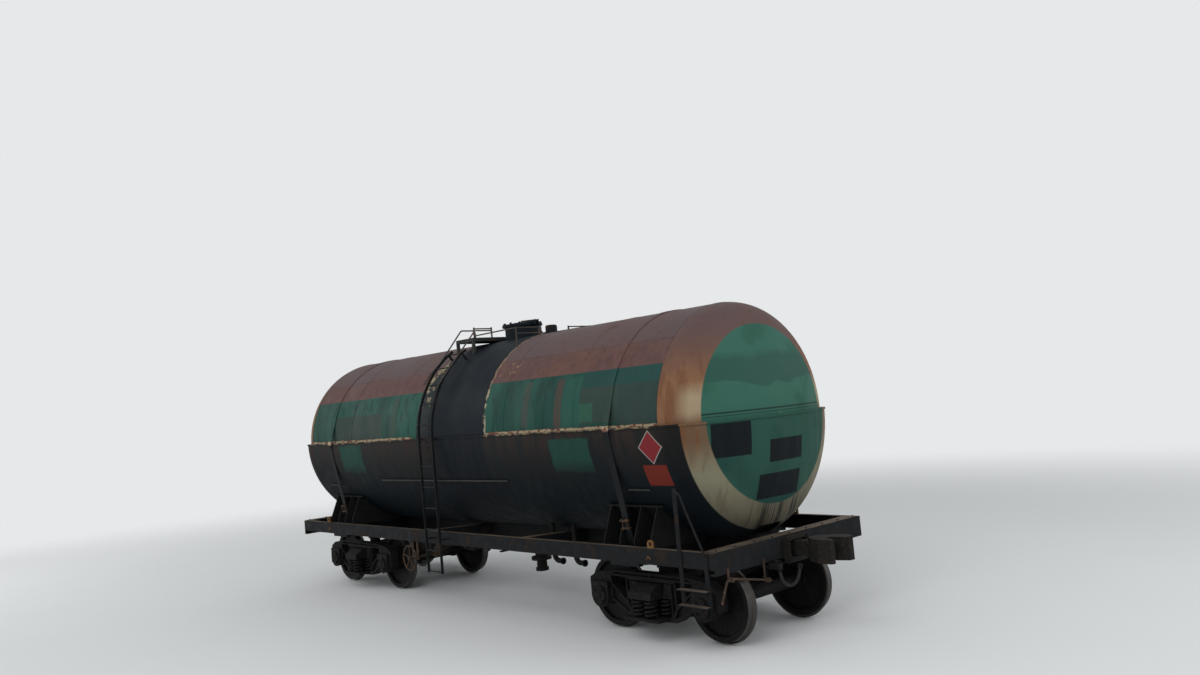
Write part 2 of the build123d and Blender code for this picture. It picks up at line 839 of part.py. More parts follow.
# Cross beams between the bolsters
with BuildPart() as cross_beams:
    for x in cross_beam_x:
        for side in (-1, 1):
            with BuildSketch(cross_plane(x - cross_beam_width / 2)):
                with BuildLine():
                    Polyline(
                        (side * beam_root_y, beam_root_top),
                        (side * beam_shoulder_y, beam_root_top),
                        (side * beam_tip_y, beam_tip_top),
                        (side * beam_tip_y, sill_top - sill_depth + sill_wall + seat_gap),
                        (side * beam_flange_y, sill_top - sill_depth + sill_wall + seat_gap),
                        (side * beam_root_y, beam_root_top - cross_beam_depth),
                        close=True,
                    )
                make_face()
            extrude(amount=cross_beam_width)
finish(cross_beams, "cross_beams")

# Saddles: a curved bed under the jacket, shelves at its top edges, and webs down to the
# bolsters and side sills
saddle_bed_r = shell_r + jacket_depth + seat_gap
with BuildPart() as saddles:
    for x in (-bogie_x, bogie_x):
        for side in (-1, 1):
            outline = (
                (side * saddle_inside_y, saddle_foot_z(saddle_inside_y)),
                (side * beam_flange_y, saddle_foot_z(beam_flange_y)),
                (side * beam_flange_y, sill_top + seat_gap),
                (side * saddle_foot_y, sill_top + seat_gap),
                (side * saddle_foot_y, sill_top + saddle_foot_height),
                (side * saddle_half_y, saddle_top_z),
                (side * saddle_inside_y, saddle_top_z),
            )
            for start in saddle_web_x:
                with BuildSketch(cross_plane(x + start)):
                    with BuildLine():
                        Polyline(*outline, close=True)
                    make_face()
                extrude(amount=saddle_plate)
            bed_y = sorted((side * saddle_inside_y, side * saddle_half_y))
            with BuildSketch(cross_plane(x - saddle_width / 2)):
                with Locations((0, tank_z)):
                    Circle(saddle_bed_r + saddle_plate)
                with Locations((side * (saddle_inside_y + saddle_half_y) / 2, tank_z - shell_r / 2)):
                    Rectangle(saddle_half_y - saddle_inside_y, shell_r * 2, mode=Mode.INTERSECT)
                with Locations((0, saddle_top_z + shell_r)):
                    Rectangle(4 * shell_r, 2 * shell_r, mode=Mode.SUBTRACT)
            extrude(amount=saddle_width)
            shelf_y = sorted((side * (saddle_half_y - 120), side * saddle_half_y))
            add_box(
                (x - saddle_shelf_width / 2, x + saddle_shelf_width / 2),
                shelf_y,
                (saddle_top_z - saddle_plate, saddle_top_z),
            )
    with Locations((0, 0, tank_z)):
        Cylinder(saddle_bed_r, 3 * bogie_x, rotation=(0, 90, 0), mode=Mode.SUBTRACT)
finish(saddles, "saddles")

# Corner steps at two opposite corners, each with a tall grab bar and a slanting handrail
with BuildPart() as corner_steps:
    stringer_y = (-frame_half_width - seat_gap - step_bar_thick, -frame_half_width - seat_gap)
    for x, top in ((step_ends[0], grab_top_z), (step_ends[1] - step_bar, sill_top)):
        add_box((x, x + step_bar), stringer_y, (step_foot_z, top))
    for level in step_levels:
        add_box(step_ends, (-step_tread_y, stringer_y[1]), (level, level + step_bar_thick))
    bar_y = stringer_y[1] - handrail_r - 1
    with BuildLine() as grab_path:
        FilletPolyline(
            (step_ends[0] + step_bar / 2, bar_y, grab_top_z - step_bar / 2),
            (step_ends[0] + 2 * step_bar, bar_y, rail + 1880),
            (step_ends[0] + 3.2 * step_bar, bar_y, rail + 1700),
            (step_ends[1] - step_bar / 2, bar_y, sill_top - step_bar / 2),
            radius=rod_bend,
        )
    with BuildSketch(Plane(origin=grab_path.line @ 0, z_dir=grab_path.line % 0)):
        Circle(handrail_r)
    sweep()
    add(corner_steps.part.rotate(Axis.Z, 180))
finish(corner_steps, "corner_steps")

# Towing eyes on the side sills
with BuildPart() as towing_eyes:
    for x in (-eye_x, eye_x):
        for side in (-1, 1):
            centre_y = side * (frame_half_width - eye_inset)
            with BuildSketch(side_plane(centre_y + eye_thick / 2)):
                with Locations((x, eye_z)):
                    Circle(eye_outer_r)
                with Locations((x, (eye_z + sill_top + seat_gap) / 2)):
                    Rectangle(2 * eye_outer_r, eye_z - sill_top - seat_gap)
                with Locations((x, eye_z)):
                    Circle(eye_inner_r, mode=Mode.SUBTRACT)
            extrude(amount=eye_thick)
finish(towing_eyes, "towing_eyes")

yoke_half_width = centre_sill_half_width - centre_sill_wall - seat_gap

# Draft gears: striker casting in front of each end beam, and inside the centre sill the
# yoke with the upright pin that the coupler swings on
with BuildPart() as draft_gears:
    for side in (-1, 1):
        front = sorted((side * (frame_half + seat_gap), side * (frame_half + striker_depth)))
        add_box(front, (-striker_half_y, striker_half_y), (striker_low_z, striker_high_z))
        add_box(
            front,
            (-striker_inside_y, striker_inside_y),
            (coupler_z - striker_inside_z, coupler_z + striker_inside_z),
            mode=Mode.SUBTRACT,
        )
        block = sorted((side * yoke_back_x, side * (coupler_pivot_x - tail_r - swing_gap)))
        strap = sorted((side * yoke_back_x, side * (coupler_pivot_x + tail_r)))
        width = (-yoke_half_width, yoke_half_width)
        add_box(block, width, (coupler_z - yoke_half_height, coupler_z + yoke_half_height))
        for level in (coupler_z - yoke_half_height, coupler_z + yoke_half_height - yoke_strap):
            add_box(strap, width, (level, level + yoke_strap))
        with Locations((side * coupler_pivot_x, 0, coupler_z)):
            Cylinder(coupler_pin_r, 2 * yoke_half_height)
finish(draft_gears, "draft_gears")


def coupler_head():
    # Plan of an automatic coupler's head: a large and a small jaw with the mouth between
    # them, measured from the pulling face, forwards and sideways
    Polyline(
        (-330, 80),
        (-230, 165),
        (-60, 238),
        (90, 222),
        (145, 165),
        (132, 92),
        (30, 52),
        (-72, 28),
        (-92, -42),
        (-42, -88),
        (52, -108),
        (92, -150),
        (74, -204),
        (-90, -218),
        (-230, -160),
        (-330, -80),
        close=True,
    )


# Couplers: shank with a round tail on the yoke's pin, and the jawed head
for name, side in (("coupler_a", 1), ("coupler_b", -1)):
    with BuildPart() as coupler:
        head_plane = Plane(
            origin=(coupler_face_x, 0, coupler_z - head_half_height), x_dir=(1, 0, 0), z_dir=(0, 0, 1)
        )
        with BuildSketch(head_plane):
            with BuildLine():
                coupler_head()
            make_face()
        extrude(amount=2 * head_half_height)
        with BuildSketch(Plane(origin=(coupler_face_x, 0, coupler_z - lock_half_height))):
            with Locations((-55, -5)):
                Rectangle(90, 46)
        extrude(amount=2 * lock_half_height)
        add_box(
            (coupler_pivot_x, coupler_face_x - 300),
            (-shank_half_width, shank_half_width),
            (coupler_z - shank_half_height, coupler_z + shank_half_height),
        )
        with Locations((coupler_pivot_x, 0, coupler_z)):
            Cylinder(tail_r, 2 * shank_half_height)
        with Locations((coupler_pivot_x, 0, coupler_z)):
            Cylinder(coupler_pin_r + pin_gap, 2 * shank_half_height, mode=Mode.SUBTRACT)
        if side < 0:
            add(coupler.part.rotate(Axis.Z, 180), mode=Mode.REPLACE)
    finish(coupler, name)

# Uncoupling levers: a bent rod on two brackets across half of each end beam
with BuildPart() as levers:
    with BuildLine() as lever_path:
        FilletPolyline(
            (lever_x, -frame_half_width + 2, rail + 651),
            (lever_x, -frame_half_width + 125, rail + 892),
            (lever_x, -frame_half_width + 266, rail + 893),
            (lever_x, -560, rail + 760),
            radius=rod_bend / 2,
        )
    with BuildSketch(Plane(origin=lever_path.line @ 0, z_dir=lever_path.line % 0)):
        Circle(lever_r)
    sweep()
    for y, level in ((-frame_half_width + 205, rail + 893), (-620, rail + 772)):
        add_box(
            (frame_half + seat_gap, lever_x + 2 * lever_r),
            (y - lever_r, y + lever_r),
            (level - 2 * lever_r, level + 2 * lever_r),
        )
        add_box(
            (frame_half + seat_gap, frame_half + lever_r),
            (y - lever_r, y + lever_r),
            (level, end_beam_bottom + 60),
        )
    add(levers.part.rotate(Axis.Z, 180))
finish(levers, "uncoupling_levers")

# Drain: a pipe from the bottom of the tank down through the centre sill to a valve with a
# screwed cap
with BuildPart() as drain:
    for radius, low, high in (
        (drain_r, drain_valve_z, tank_z - shell_r / 2),
        (drain_flange_r, drain_valve_z - drain_cap_lug, drain_valve_z + drain_cap_lug),
        (drain_cap_r, drain_foot_z, drain_valve_z),
        (drain_r + 6, drain_foot_z, drain_foot_z + 2 * drain_cap_lug),
    ):
        with BuildSketch(Plane(origin=(hatch_x, 0, low))):
            Circle(radius)
        extrude(amount=high - low)
    cut_tank(shell_r + seat_gap)
finish(drain, "drain_outlet")

# Steam inlet: a pipe from the jacket down to a bored stub beside the centre sill, and the
# condensate outlet beyond it
with BuildPart() as steam_inlet:
    for x in steam_pipe_x:
        with BuildLine() as steam_path:
            FilletPolyline(
                (x, steam_pipe_y, tank_z - shell_r / 2),
                (x, steam_pipe_y, steam_pipe_z),
                (x + steam_stub, steam_pipe_y, steam_pipe_z),
                radius=2.5 * steam_pipe_r,
            )
        with BuildSketch(Plane(origin=steam_path.line @ 0, z_dir=steam_path.line % 0)):
            Circle(steam_pipe_r)
        sweep()
        with BuildSketch(Plane(origin=(x + steam_stub, steam_pipe_y, steam_pipe_z), z_dir=(1, 0, 0))):
            Circle(steam_pipe_r + 12)
        extrude(amount=-steam_flange)
        with BuildSketch(Plane(origin=(x + steam_stub, steam_pipe_y, steam_pipe_z), z_dir=(1, 0, 0))):
            Circle(steam_bore_r)
        extrude(amount=-steam_bore_length, mode=Mode.SUBTRACT)
    with Locations((0, 0, tank_z)):
        Cylinder(saddle_bed_r, 2 * barrel_half, rotation=(0, 90, 0), mode=Mode.SUBTRACT)
finish(steam_inlet, "steam_inlet")

# Train pipe of the air brake, from end to end beside the centre sill, hung from its feet
foot_underside = centre_sill_bottom - seat_gap
train_pipe_points = (
    (frame_half - sill_wall, -train_pipe_y, train_pipe_z),
    (bogie_x - 1000, -train_pipe_y, train_pipe_z),
    (bogie_x - 1300, -train_pipe_y, train_pipe_dip_z),
    (bogie_x - 1600, train_pipe_y, train_pipe_dip_z),
    (bogie_x - 1900, train_pipe_y, train_pipe_z),
    (-frame_half + sill_wall, train_pipe_y, train_pipe_z),
)
with BuildPart() as train_pipe:
    with BuildLine() as pipe_path:
        FilletPolyline(*train_pipe_points, radius=5 * train_pipe_r)
    with BuildSketch(Plane(origin=pipe_path.line @ 0, z_dir=pipe_path.line % 0)):
        Circle(train_pipe_r)
    sweep()
    for x, side in train_pipe_hangers:
        y = sorted((side * (train_pipe_y + train_pipe_r), side * (centre_sill_half_width + seat_gap)))
        level = train_pipe_z + train_pipe_r
        add_box((x - hanger_thick, x + hanger_thick), y, (level - 8, level + 12))
    for side in (-1, 1):
        cock = sorted((side * (frame_half - 2 * sill_wall), side * (frame_half + cock_reach)))
        add_box(
            cock,
            sorted((-side * (train_pipe_y - cock_half), -side * (train_pipe_y + cock_half))),
            (train_pipe_z - cock_half, train_pipe_z + cock_half),
        )
        lead = math.radians(hose_start_turn)
        nipple_y = -train_pipe_y + nipple_length * math.cos(lead)
        nipple_z = train_pipe_z + nipple_length * math.sin(lead)
        start = (side * hose_plane_x, -side * train_pipe_y, train_pipe_z)
        add_rod(start, (side * hose_plane_x, side * nipple_y, nipple_z), hose_r + 5)
finish(train_pipe, "train_pipe")

# Brake cylinder, air reservoir and distributor, each on a bracket to the centre sill's feet
with BuildPart() as brake_cylinder:
    with Locations(((cylinder_ends[0] + cylinder_ends[1]) / 2, -cylinder_y, cylinder_z)):
        Cylinder(cylinder_r, cylinder_ends[1] - cylinder_ends[0], rotation=(0, 90, 0))
    for x in (cylinder_ends[0] + cylinder_flange, cylinder_ends[1] - 3 * cylinder_flange):
        with Locations((x, -cylinder_y, cylinder_z)):
            Cylinder(cylinder_r + cylinder_flange, cylinder_flange, rotation=(0, 90, 0))
    for x in (cylinder_ends[0] + 90, cylinder_ends[1] - 130):
        add_box(
            (x, x + 3 * hanger_thick),
            (-cylinder_y - cylinder_r / 2, -centre_sill_half_width - 20),
            (cylinder_z, foot_underside),
        )
    piston_end = brake_lever_x - rod_lever_half - seat_gap
    add_rod((cylinder_ends[1] - 1, -cylinder_y, cylinder_z), (piston_end, -cylinder_y, cylinder_z), 24)
finish(brake_cylinder, "brake_cylinder")

with BuildPart() as reservoir:
    middle = (reservoir_ends[0] + reservoir_ends[1]) / 2
    with Locations((middle, cylinder_y, reservoir_z)):
        Cylinder(reservoir_r, reservoir_ends[1] - reservoir_ends[0], rotation=(0, 90, 0))
    fillet(reservoir.edges(), radius=reservoir_r / 3)
    for x in (reservoir_ends[0] + 160, reservoir_ends[1] - 190):
        add_box(
            (x, x + 3 * hanger_thick),
            (centre_sill_half_width + 20, cylinder_y + 20),
            (reservoir_z, foot_underside),
        )
finish(reservoir, "air_reservoir")

with BuildPart() as distributor:
    add_box(
        (distributor_x - 130, distributor_x + 130),
        (-distributor_y - 70, -distributor_y + 70),
        (distributor_z, distributor_z + 150),
    )
    for side in (-1, 1):
        with Locations((distributor_x + side * 130, -distributor_y, distributor_z + 80)):
            Cylinder(58, 190, rotation=(90, 0, 0))
    add_box(
        (distributor_x - 60, distributor_x + 60),
        (-distributor_y - 40, -centre_sill_half_width - 10),
        (distributor_z + 149, foot_underside),
    )
finish(distributor, "air_distributor")

# Brake rods below the centre sill: two upright levers on a fulcrum, the tie between them,
# and a pull rod out to each bogie
with BuildPart() as brake_rods:
    for x in (brake_lever_x, fulcrum_x):
        add_box((x - rod_lever_half, x + rod_lever_half), (-cylinder_y - 11, cylinder_y / 2 - 20), (rod_z - 11, rod_z + 11))
    add_rod((brake_lever_x, 0, rod_z), (fulcrum_x, 0, rod_z), rod_r)
    for start, end in ((brake_lever_x, -pull_rod_end), (fulcrum_x, pull_rod_end)):
        near = start + (60 if end > start else -60)
        add_rod((start, cylinder_y / 2 - 40, rod_z), (near, cylinder_y / 2 - 40, rod_z), rod_r + 2)
        add_rod((near, cylinder_y / 2 - 40, rod_z), (end, 0, rod_z), rod_r)
    for x in rod_hangers:
        y = (cylinder_y / 2 - 40) * (pull_rod_end - abs(x)) / (pull_rod_end - abs(fulcrum_x))
        for side in (-1, 1):
            low, high = sorted((y + side * (rod_r + 6), side * (centre_sill_half_width + 40)))
            add_box((x - hanger_thick, x + hanger_thick), (low, high), (rod_z - rod_r, rod_z))
            edge = side * (centre_sill_half_width + 40)
            add_box((x - hanger_thick, x + hanger_thick), (edge - 8, edge + 8), (rod_z - rod_r, foot_underside))
        add_box((x - hanger_thick, x + hanger_thick), (y - 40, y + 40), (rod_z - rod_r - 14, rod_z - rod_r + 6))
finish(brake_rods, "brake_rods")

# Parking brake: a hand wheel on the near side on two bent bars from the side sill, with its
# shaft to the brake lever
with BuildPart() as handbrake:
    wheel_y = -handwheel_y
    with Locations((handwheel_x, wheel_y, handwheel_z)):
        Torus(handwheel_r - handwheel_rim_r, handwheel_rim_r, rotation=(90, 0, 0))
    for turn in range(handwheel_spokes):
        angle = 2 * math.pi * turn / handwheel_spokes + math.pi / 2
        reach = handwheel_r - handwheel_rim_r
        tip = (handwheel_x + reach * math.cos(angle), wheel_y, handwheel_z + reach * math.sin(angle))
        add_rod((handwheel_x, wheel_y, handwheel_z), tip, handwheel_rim_r - 3)
    with Locations((handwheel_x, wheel_y, handwheel_z)):
        Cylinder(34, 60, rotation=(90, 0, 0))
    add_rod((handwheel_x, wheel_y, handwheel_z), (handwheel_x, -handbrake_inside_y, handwheel_z), 20)
    with Locations((handwheel_x, -handbrake_inside_y, handwheel_z)):
        Cylinder(58, 90, rotation=(90, 0, 0))
    for x in (handwheel_x - 70, handwheel_x + 70):
        add_box(
            (x - 26, x + 26),
            (-handbrake_hanger_y - 7, -handbrake_hanger_y + 7),
            (handwheel_z - 30, sill_top - sill_depth - seat_gap),
        )
    add_box(
        (handwheel_x - 96, handwheel_x + 96),
        (-handbrake_hanger_y - 7, -handbrake_hanger_y + 7),
        (handwheel_z - 44, handwheel_z + 44),
    )
    # gusset plate of the gear, bolted to the side of the cross beam
    with BuildSketch(side_plane(-handbrake_inside_y - 7)):
        with BuildLine():
            Polyline(
                (handwheel_x - 60, handwheel_z - 70),
                (handwheel_x + 60, handwheel_z - 70),
                (cross_beam_x[0] - cross_beam_width / 2 - seat_gap, centre_sill_top - 160),
                (cross_beam_x[0] - cross_beam_width / 2 - seat_gap, centre_sill_top - 40),
                (handwheel_x - 60, handwheel_z + 60),
                close=True,
            )
        make_face()
    extrude(amount=-14)
    chain_start = (handwheel_x - 40, -handbrake_inside_y, handwheel_z)
    chain_end = (brake_lever_x + rod_lever_half + rod_r, -cylinder_y + rod_r, rod_z)
    add_rod(chain_start, chain_end, rod_r - 3)
finish(handbrake, "handbrake")

# Brake hoses: each hangs in a U beside the coupler, from the end cock to a hook under the
# striker; the route is in the plane across the car at the hose's X
hose_points = []
hose_y = -train_pipe_y + nipple_length * math.cos(math.radians(hose_start_turn))
hose_z = train_pipe_z + nipple_length * math.sin(math.radians(hose_start_turn))
hose_points.append((hose_plane_x, hose_y, hose_z))
for run in range(hose_runs):
    heading = math.radians(hose_start_turn + run * hose_turn)
    hose_y = hose_y + hose_run * math.cos(heading)
    hose_z = hose_z + hose_run * math.sin(heading)
    hose_points.append((hose_plane_x, hose_y, hose_z))
hose_radius = 0.45 * hose_run / math.tan(math.radians(hose_turn / 2))
print("brake hose bends", round(hose_radius, 1), "mm, diameter", 2 * hose_r)
print("brake hose length", hose_run * hose_runs)
for point in hose_points:
    print("brake hose point", [round(value, 1) for value in point])
hose_end = Vector(*hose_points[-1])
hose_lead = (hose_end - Vector(*hose_points[-2])).normalized()
hose_exit = (Vector(*hose_points[1]) - Vector(*hose_points[0])).normalized()
for name, side in (("a", 1), ("b", -1)):
    with BuildPart() as hose:
        with BuildLine() as hose_path:
            FilletPolyline(*hose_points, radius=hose_radius)
        with BuildSketch(Plane(origin=hose_points[0], z_dir=hose_exit)):
            Circle(hose_r)
        sweep()
        if side < 0:
            add(hose.part.rotate(Axis.Z, 180), mode=Mode.REPLACE)
    finish(hose, "brake_hose_" + name)
    with BuildPart() as hose_head:
        with BuildSketch(Plane(origin=hose_end, z_dir=hose_lead)):
            Circle(hose_head_r)
        extrude(amount=hose_head_length)
        if side < 0:
            add(hose_head.part.rotate(Axis.Z, 180), mode=Mode.REPLACE)
    finish(hose_head, "hose_head_" + name)

# Wheel profile across the car from the inside of the hub: distance from the middle, radius
wheel_profile = (
    (hub_inside, wheel_seat_r + seat_gap),
    (hub_inside, hub_r),
    (hub_inside + 43, hub_r + 12),
    (hub_inside + 67, rim_inside_r),
    (wheel_back + 4, rim_inside_r + 10),
    (wheel_back, rim_inside_r + 20),
    (wheel_back, axle_z - 13),
    (wheel_back + 7, axle_z),
    (wheel_back + 21, axle_z),
    (wheel_back + 32, tread_r + 7),
    (wheel_back + 45, tread_r + 1),
    (wheel_back + wheel_width, tread_r - 4),
    (wheel_back + wheel_width, rim_inside_r + 15),
    (wheel_back + wheel_width - 8, rim_inside_r + 7),
    (hub_inside + 93, rim_inside_r),
    (hub_inside + 67, hub_r + 17),
    (hub_outside, hub_r + 7),
    (hub_outside, wheel_seat_r + seat_gap),
)

# Axle profile for one half of an axle
axle_profile = (
    (0, 0),
    (0, axle_r),
    (hub_inside - 70, axle_r),
    (hub_inside - 15, wheel_seat_r),
    (hub_outside + 3, wheel_seat_r),
    (hub_outside + 9, journal_r),
    (axle_half_length - 6, journal_r),
    (axle_half_length, journal_r - 6),
    (axle_half_length, 0),
)

# Bogies: each is a bolster on springs between two cast side frames, with axle boxes in
# their pedestals and the brake gear between the wheels
for letter, middle in (("a", bogie_x), ("b", -bogie_x)):
    for number, axle_offset in ((1, wheelbase / 2), (2, -wheelbase / 2)):
        axle_x = middle + axle_offset
        with BuildPart() as wheelset:
            for side in (-1, 1):
                with BuildSketch(Plane(origin=(axle_x, 0, axle_z), x_dir=(0, side, 0), z_dir=(side, 0, 0))):
                    with BuildLine():
                        Polyline(*wheel_profile, close=True)
                    make_face()
                revolve(axis=Axis((axle_x, 0, axle_z), (0, 1, 0)))
            with BuildSketch(Plane(origin=(axle_x, 0, axle_z), x_dir=(0, 1, 0), z_dir=(1, 0, 0))):
                with BuildLine():
                    Polyline(*axle_profile, close=True)
                make_face()
                mirror(about=Plane.YZ)
            revolve(axis=Axis((axle_x, 0, axle_z), (0, 1, 0)))
        finish(wheelset, "wheelset_" + letter + str(number))

    with BuildPart() as boxes:
        for axle_offset in (wheelbase / 2, -wheelbase / 2):
            axle_x = middle + axle_offset
            for side in (-1, 1):
                inside = side * box_inside_y
                outward = Plane(origin=(axle_x, inside, axle_z), x_dir=(1, 0, 0), z_dir=(0, side, 0))
                with BuildSketch(outward):
                    Circle(box_r)
                extrude(amount=box_outside_y - box_inside_y)
                add_box(
                    (axle_x - box_r, axle_x + box_r),
                    sorted((inside, side * box_outside_y)),
                    (axle_z, pedestal_top - seat_gap),
                )
                with BuildSketch(outward):
                    Circle(box_cover_r)
                extrude(amount=box_cover_y - box_inside_y)
                with BuildSketch(outward):
                    Circle(journal_r + journal_gap)
                extrude(amount=axle_half_length + swing_gap - box_inside_y, mode=Mode.SUBTRACT)
    finish(boxes, "bogie_" + letter + "_axle_boxes")

    with BuildPart() as side_frames:
        for side in (-1, 1):
            near = side_plane(side * journal_half_span + side_frame_thick / 2, middle)
            with BuildSketch(near):
                for flip in (1, -1):
                    with BuildLine():
                        Polyline(*[(flip * x, rail + z) for x, z in frame_outline], close=True)
                    make_face()
                with Locations((0, rail + (frame_window[1] + frame_window[2]) / 2)):
                    Rectangle(2 * frame_window[0], frame_window[2] - frame_window[1], mode=Mode.SUBTRACT)
                for flip in (1, -1):
                    with BuildLine():
                        Polyline(*[(flip * x, rail + z) for x, z in frame_light], close=True)
                    make_face(mode=Mode.SUBTRACT)
            extrude(amount=side_frame_thick)
            # pockets in both faces leave a web with ribs round every edge
            for pocket, amount in ((near, side_frame_pocket), (near.offset(side_frame_thick), -side_frame_pocket)):
                with BuildSketch(pocket):
                    for flip in (1, -1):
                        for corners in frame_pockets:
                            with BuildLine():
                                Polyline(*[(flip * x, rail + z) for x, z in corners], close=True)
                            make_face()
                extrude(amount=amount, mode=Mode.SUBTRACT)
            seat_y = sorted((side * (journal_half_span - seat_half_y), side * (journal_half_span + seat_half_y)))
            add_box((middle - seat_half_x, middle + seat_half_x), seat_y, (spring_z[0] - seat_thick, spring_z[0]))
    finish(side_frames, "bogie_" + letter + "_side_frames")

    with BuildPart() as bogie_bolster:
        with BuildSketch(cross_plane(middle - bogie_bolster_width / 2)):
            with BuildLine():
                Polyline(*[(y, rail + z) for y, z in bogie_bolster_outline], close=True)
            make_face()
            mirror(about=Plane.YZ)
        extrude(amount=bogie_bolster_width)
        with BuildSketch(Plane(origin=(middle, 0, bogie_bolster_top - 1))):
            Circle(centre_plate_r + bowl_wall + pin_gap)
        extrude(amount=bowl_rim_z - bogie_bolster_top + 1)
        with BuildSketch(Plane(origin=(middle, 0, centre_plate_z))):
            Circle(centre_plate_r + 5 * seat_gap)
        extrude(amount=bowl_rim_z, mode=Mode.SUBTRACT)
        for side in (-1, 1):
            bearer_y = sorted((side * (bearer_y_centre - 60), side * (bearer_y_centre + 60)))
            add_box((middle - bearer_half, middle + bearer_half), bearer_y, (rail + 720, bearer_z))
        # friction wedges between the bolster's ends and the side frames' columns
        for side in (-1, 1):
            for end in (-1, 1):
                near = side_plane(side * journal_half_span + wedge_width / 2)
                foot = middle + end * (bogie_bolster_width / 2 + seat_gap)
                face = middle + end * (frame_window[0] - seat_gap)
                with BuildSketch(near):
                    with BuildLine():
                        Polyline(
                            (foot, spring_z[1] + seat_gap),
                            (face, spring_z[1] + seat_gap),
                            (face, spring_z[1] + wedge_height),
                            (foot + end * 50, spring_z[1] + wedge_height),
                            close=True,
                        )
                    make_face()
                extrude(amount=wedge_width)
    finish(bogie_bolster, "bogie_" + letter + "_bolster")

    with BuildPart() as springs:
        for side in (-1, 1):
            for row, count in ((-1, 2), (0, 3), (1, 2)):
                for place in range(count):
                    x = middle + (place - (count - 1) / 2) * spring_pitch
                    y = side * journal_half_span + row * spring_row_pitch
                    with BuildSketch(Plane(origin=(x, y, spring_z[0] + seat_gap))):
                        Circle(spring_r)
                        Circle(spring_inside_r, mode=Mode.SUBTRACT)
                    extrude(amount=spring_z[1] - spring_z[0] - 2 * seat_gap)
    finish(springs, "bogie_" + letter + "_springs")

    with BuildPart() as brake_gear:
        for end in (-1, 1):
            axle_x = middle + end * wheelbase / 2
            beam_x = middle + end * brake_beam_x
            with BuildSketch(side_plane(-shoe_y[0])):
                with Locations((axle_x, axle_z)):
                    Circle(tread_r + shoe_gap + shoe_thick)
                    Circle(tread_r + shoe_gap, mode=Mode.SUBTRACT)
                with Locations((beam_x - end * 10, brake_beam_z)):
                    Rectangle(170, shoe_height, mode=Mode.INTERSECT)
            extrude(amount=shoe_y[1] - shoe_y[0])
            mirror(about=Plane.XZ)
            add_rod((beam_x, -shoe_y[1], brake_beam_z), (beam_x, shoe_y[1], brake_beam_z), brake_beam_r)
            strut_x = middle + end * brake_strut_x
            add_rod((beam_x, -shoe_y[0], brake_beam_z), (strut_x, 0, brake_beam_z), brake_beam_r - 4)
            add_rod((beam_x, shoe_y[0], brake_beam_z), (strut_x, 0, brake_beam_z), brake_beam_r - 4)
            add_box(
                (strut_x - 22, strut_x + 22),
                (-brake_lever_half, brake_lever_half),
                (brake_tie_z - 40, brake_lever_top),
            )
            for side in (-1, 1):
                y = side * (journal_half_span - side_frame_thick / 2 - hanger_set_in)
                add_rod((beam_x, side * (shoe_y[1] - 1), brake_beam_z), (beam_x, y, brake_beam_z), 16)
                add_box((beam_x - 14, beam_x + 14), (y - 9, y + 9), (brake_beam_z - 22, rail + 760))
                pin_end = side * (journal_half_span - side_frame_thick / 2 - seat_gap)
                add_rod((beam_x, y, rail + 740), (beam_x, pin_end, rail + 740), 16)
        tie_ends = (middle - brake_strut_x, middle + brake_strut_x)
        add_rod((tie_ends[0], 0, brake_tie_z), (tie_ends[1], 0, brake_tie_z), rod_r + 3)
    finish(brake_gear, "bogie_" + letter + "_brake_gear")
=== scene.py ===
# Steam-jacketed railway tank car: finishes, small fittings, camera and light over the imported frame
import json
import math
import bmesh
import bpy
from mathutils import Matrix, Vector


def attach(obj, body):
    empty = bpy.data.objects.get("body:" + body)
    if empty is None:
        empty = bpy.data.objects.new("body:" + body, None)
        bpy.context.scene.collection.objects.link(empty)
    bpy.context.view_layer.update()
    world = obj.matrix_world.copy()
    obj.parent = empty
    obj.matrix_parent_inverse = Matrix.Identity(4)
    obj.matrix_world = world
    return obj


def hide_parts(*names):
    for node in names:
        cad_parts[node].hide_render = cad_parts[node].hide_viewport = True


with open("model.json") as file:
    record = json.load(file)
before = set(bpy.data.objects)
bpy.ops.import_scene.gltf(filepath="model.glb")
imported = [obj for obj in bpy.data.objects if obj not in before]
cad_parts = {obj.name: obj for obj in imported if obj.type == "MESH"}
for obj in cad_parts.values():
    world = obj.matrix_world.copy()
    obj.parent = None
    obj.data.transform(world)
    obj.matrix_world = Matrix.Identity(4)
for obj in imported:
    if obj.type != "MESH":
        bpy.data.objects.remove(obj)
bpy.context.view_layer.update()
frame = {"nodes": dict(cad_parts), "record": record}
print("frame loaded")

# what several pieces share, in metres
waist = 2.740  # height of the tank's axis above the flange tips
tankRadius = 1.500
bogies = {"a": 3.900, "b": -3.900}  # X of each bogie's centre
axleReach = 0.925  # from a bogie's centre to its axles
axleHeight = 0.503


def hexColour(code):  # sRGB hex to linear RGBA
    channels = [int(code[i:i + 2], 16) / 255 for i in (0, 2, 4)]
    linear = [c / 12.92 if c <= 0.04045 else ((c + 0.055) / 1.055) ** 2.4 for c in channels]
    return (*linear, 1.0)


def addNode(tree, kind, links=None, **settings):  # a node, its settings, and what feeds its sockets
    node = tree.nodes.new(kind)
    for name, value in settings.items():
        setattr(node, name, value)
    for socket, source in (links or {}).items():
        if isinstance(source, bpy.types.NodeSocket):
            tree.links.new(source, node.inputs[socket])
        else:
            node.inputs[socket].default_value = source
    return node


def newMaterial(name, roughness, ior=1.5):
    material = bpy.data.materials.new(name)
    material.use_nodes = True
    tree = material.node_tree
    shader = tree.nodes["Principled BSDF"]
    shader.inputs["Roughness"].default_value = roughness
    shader.inputs["IOR"].default_value = ior
    place = addNode(tree, "ShaderNodeTexCoord").outputs["Object"]
    return material, tree, shader, place


def combine(tree, operation, first, second=0.0):
    return addNode(tree, "ShaderNodeMath", {0: first, 1: second}, operation=operation).outputs[0]


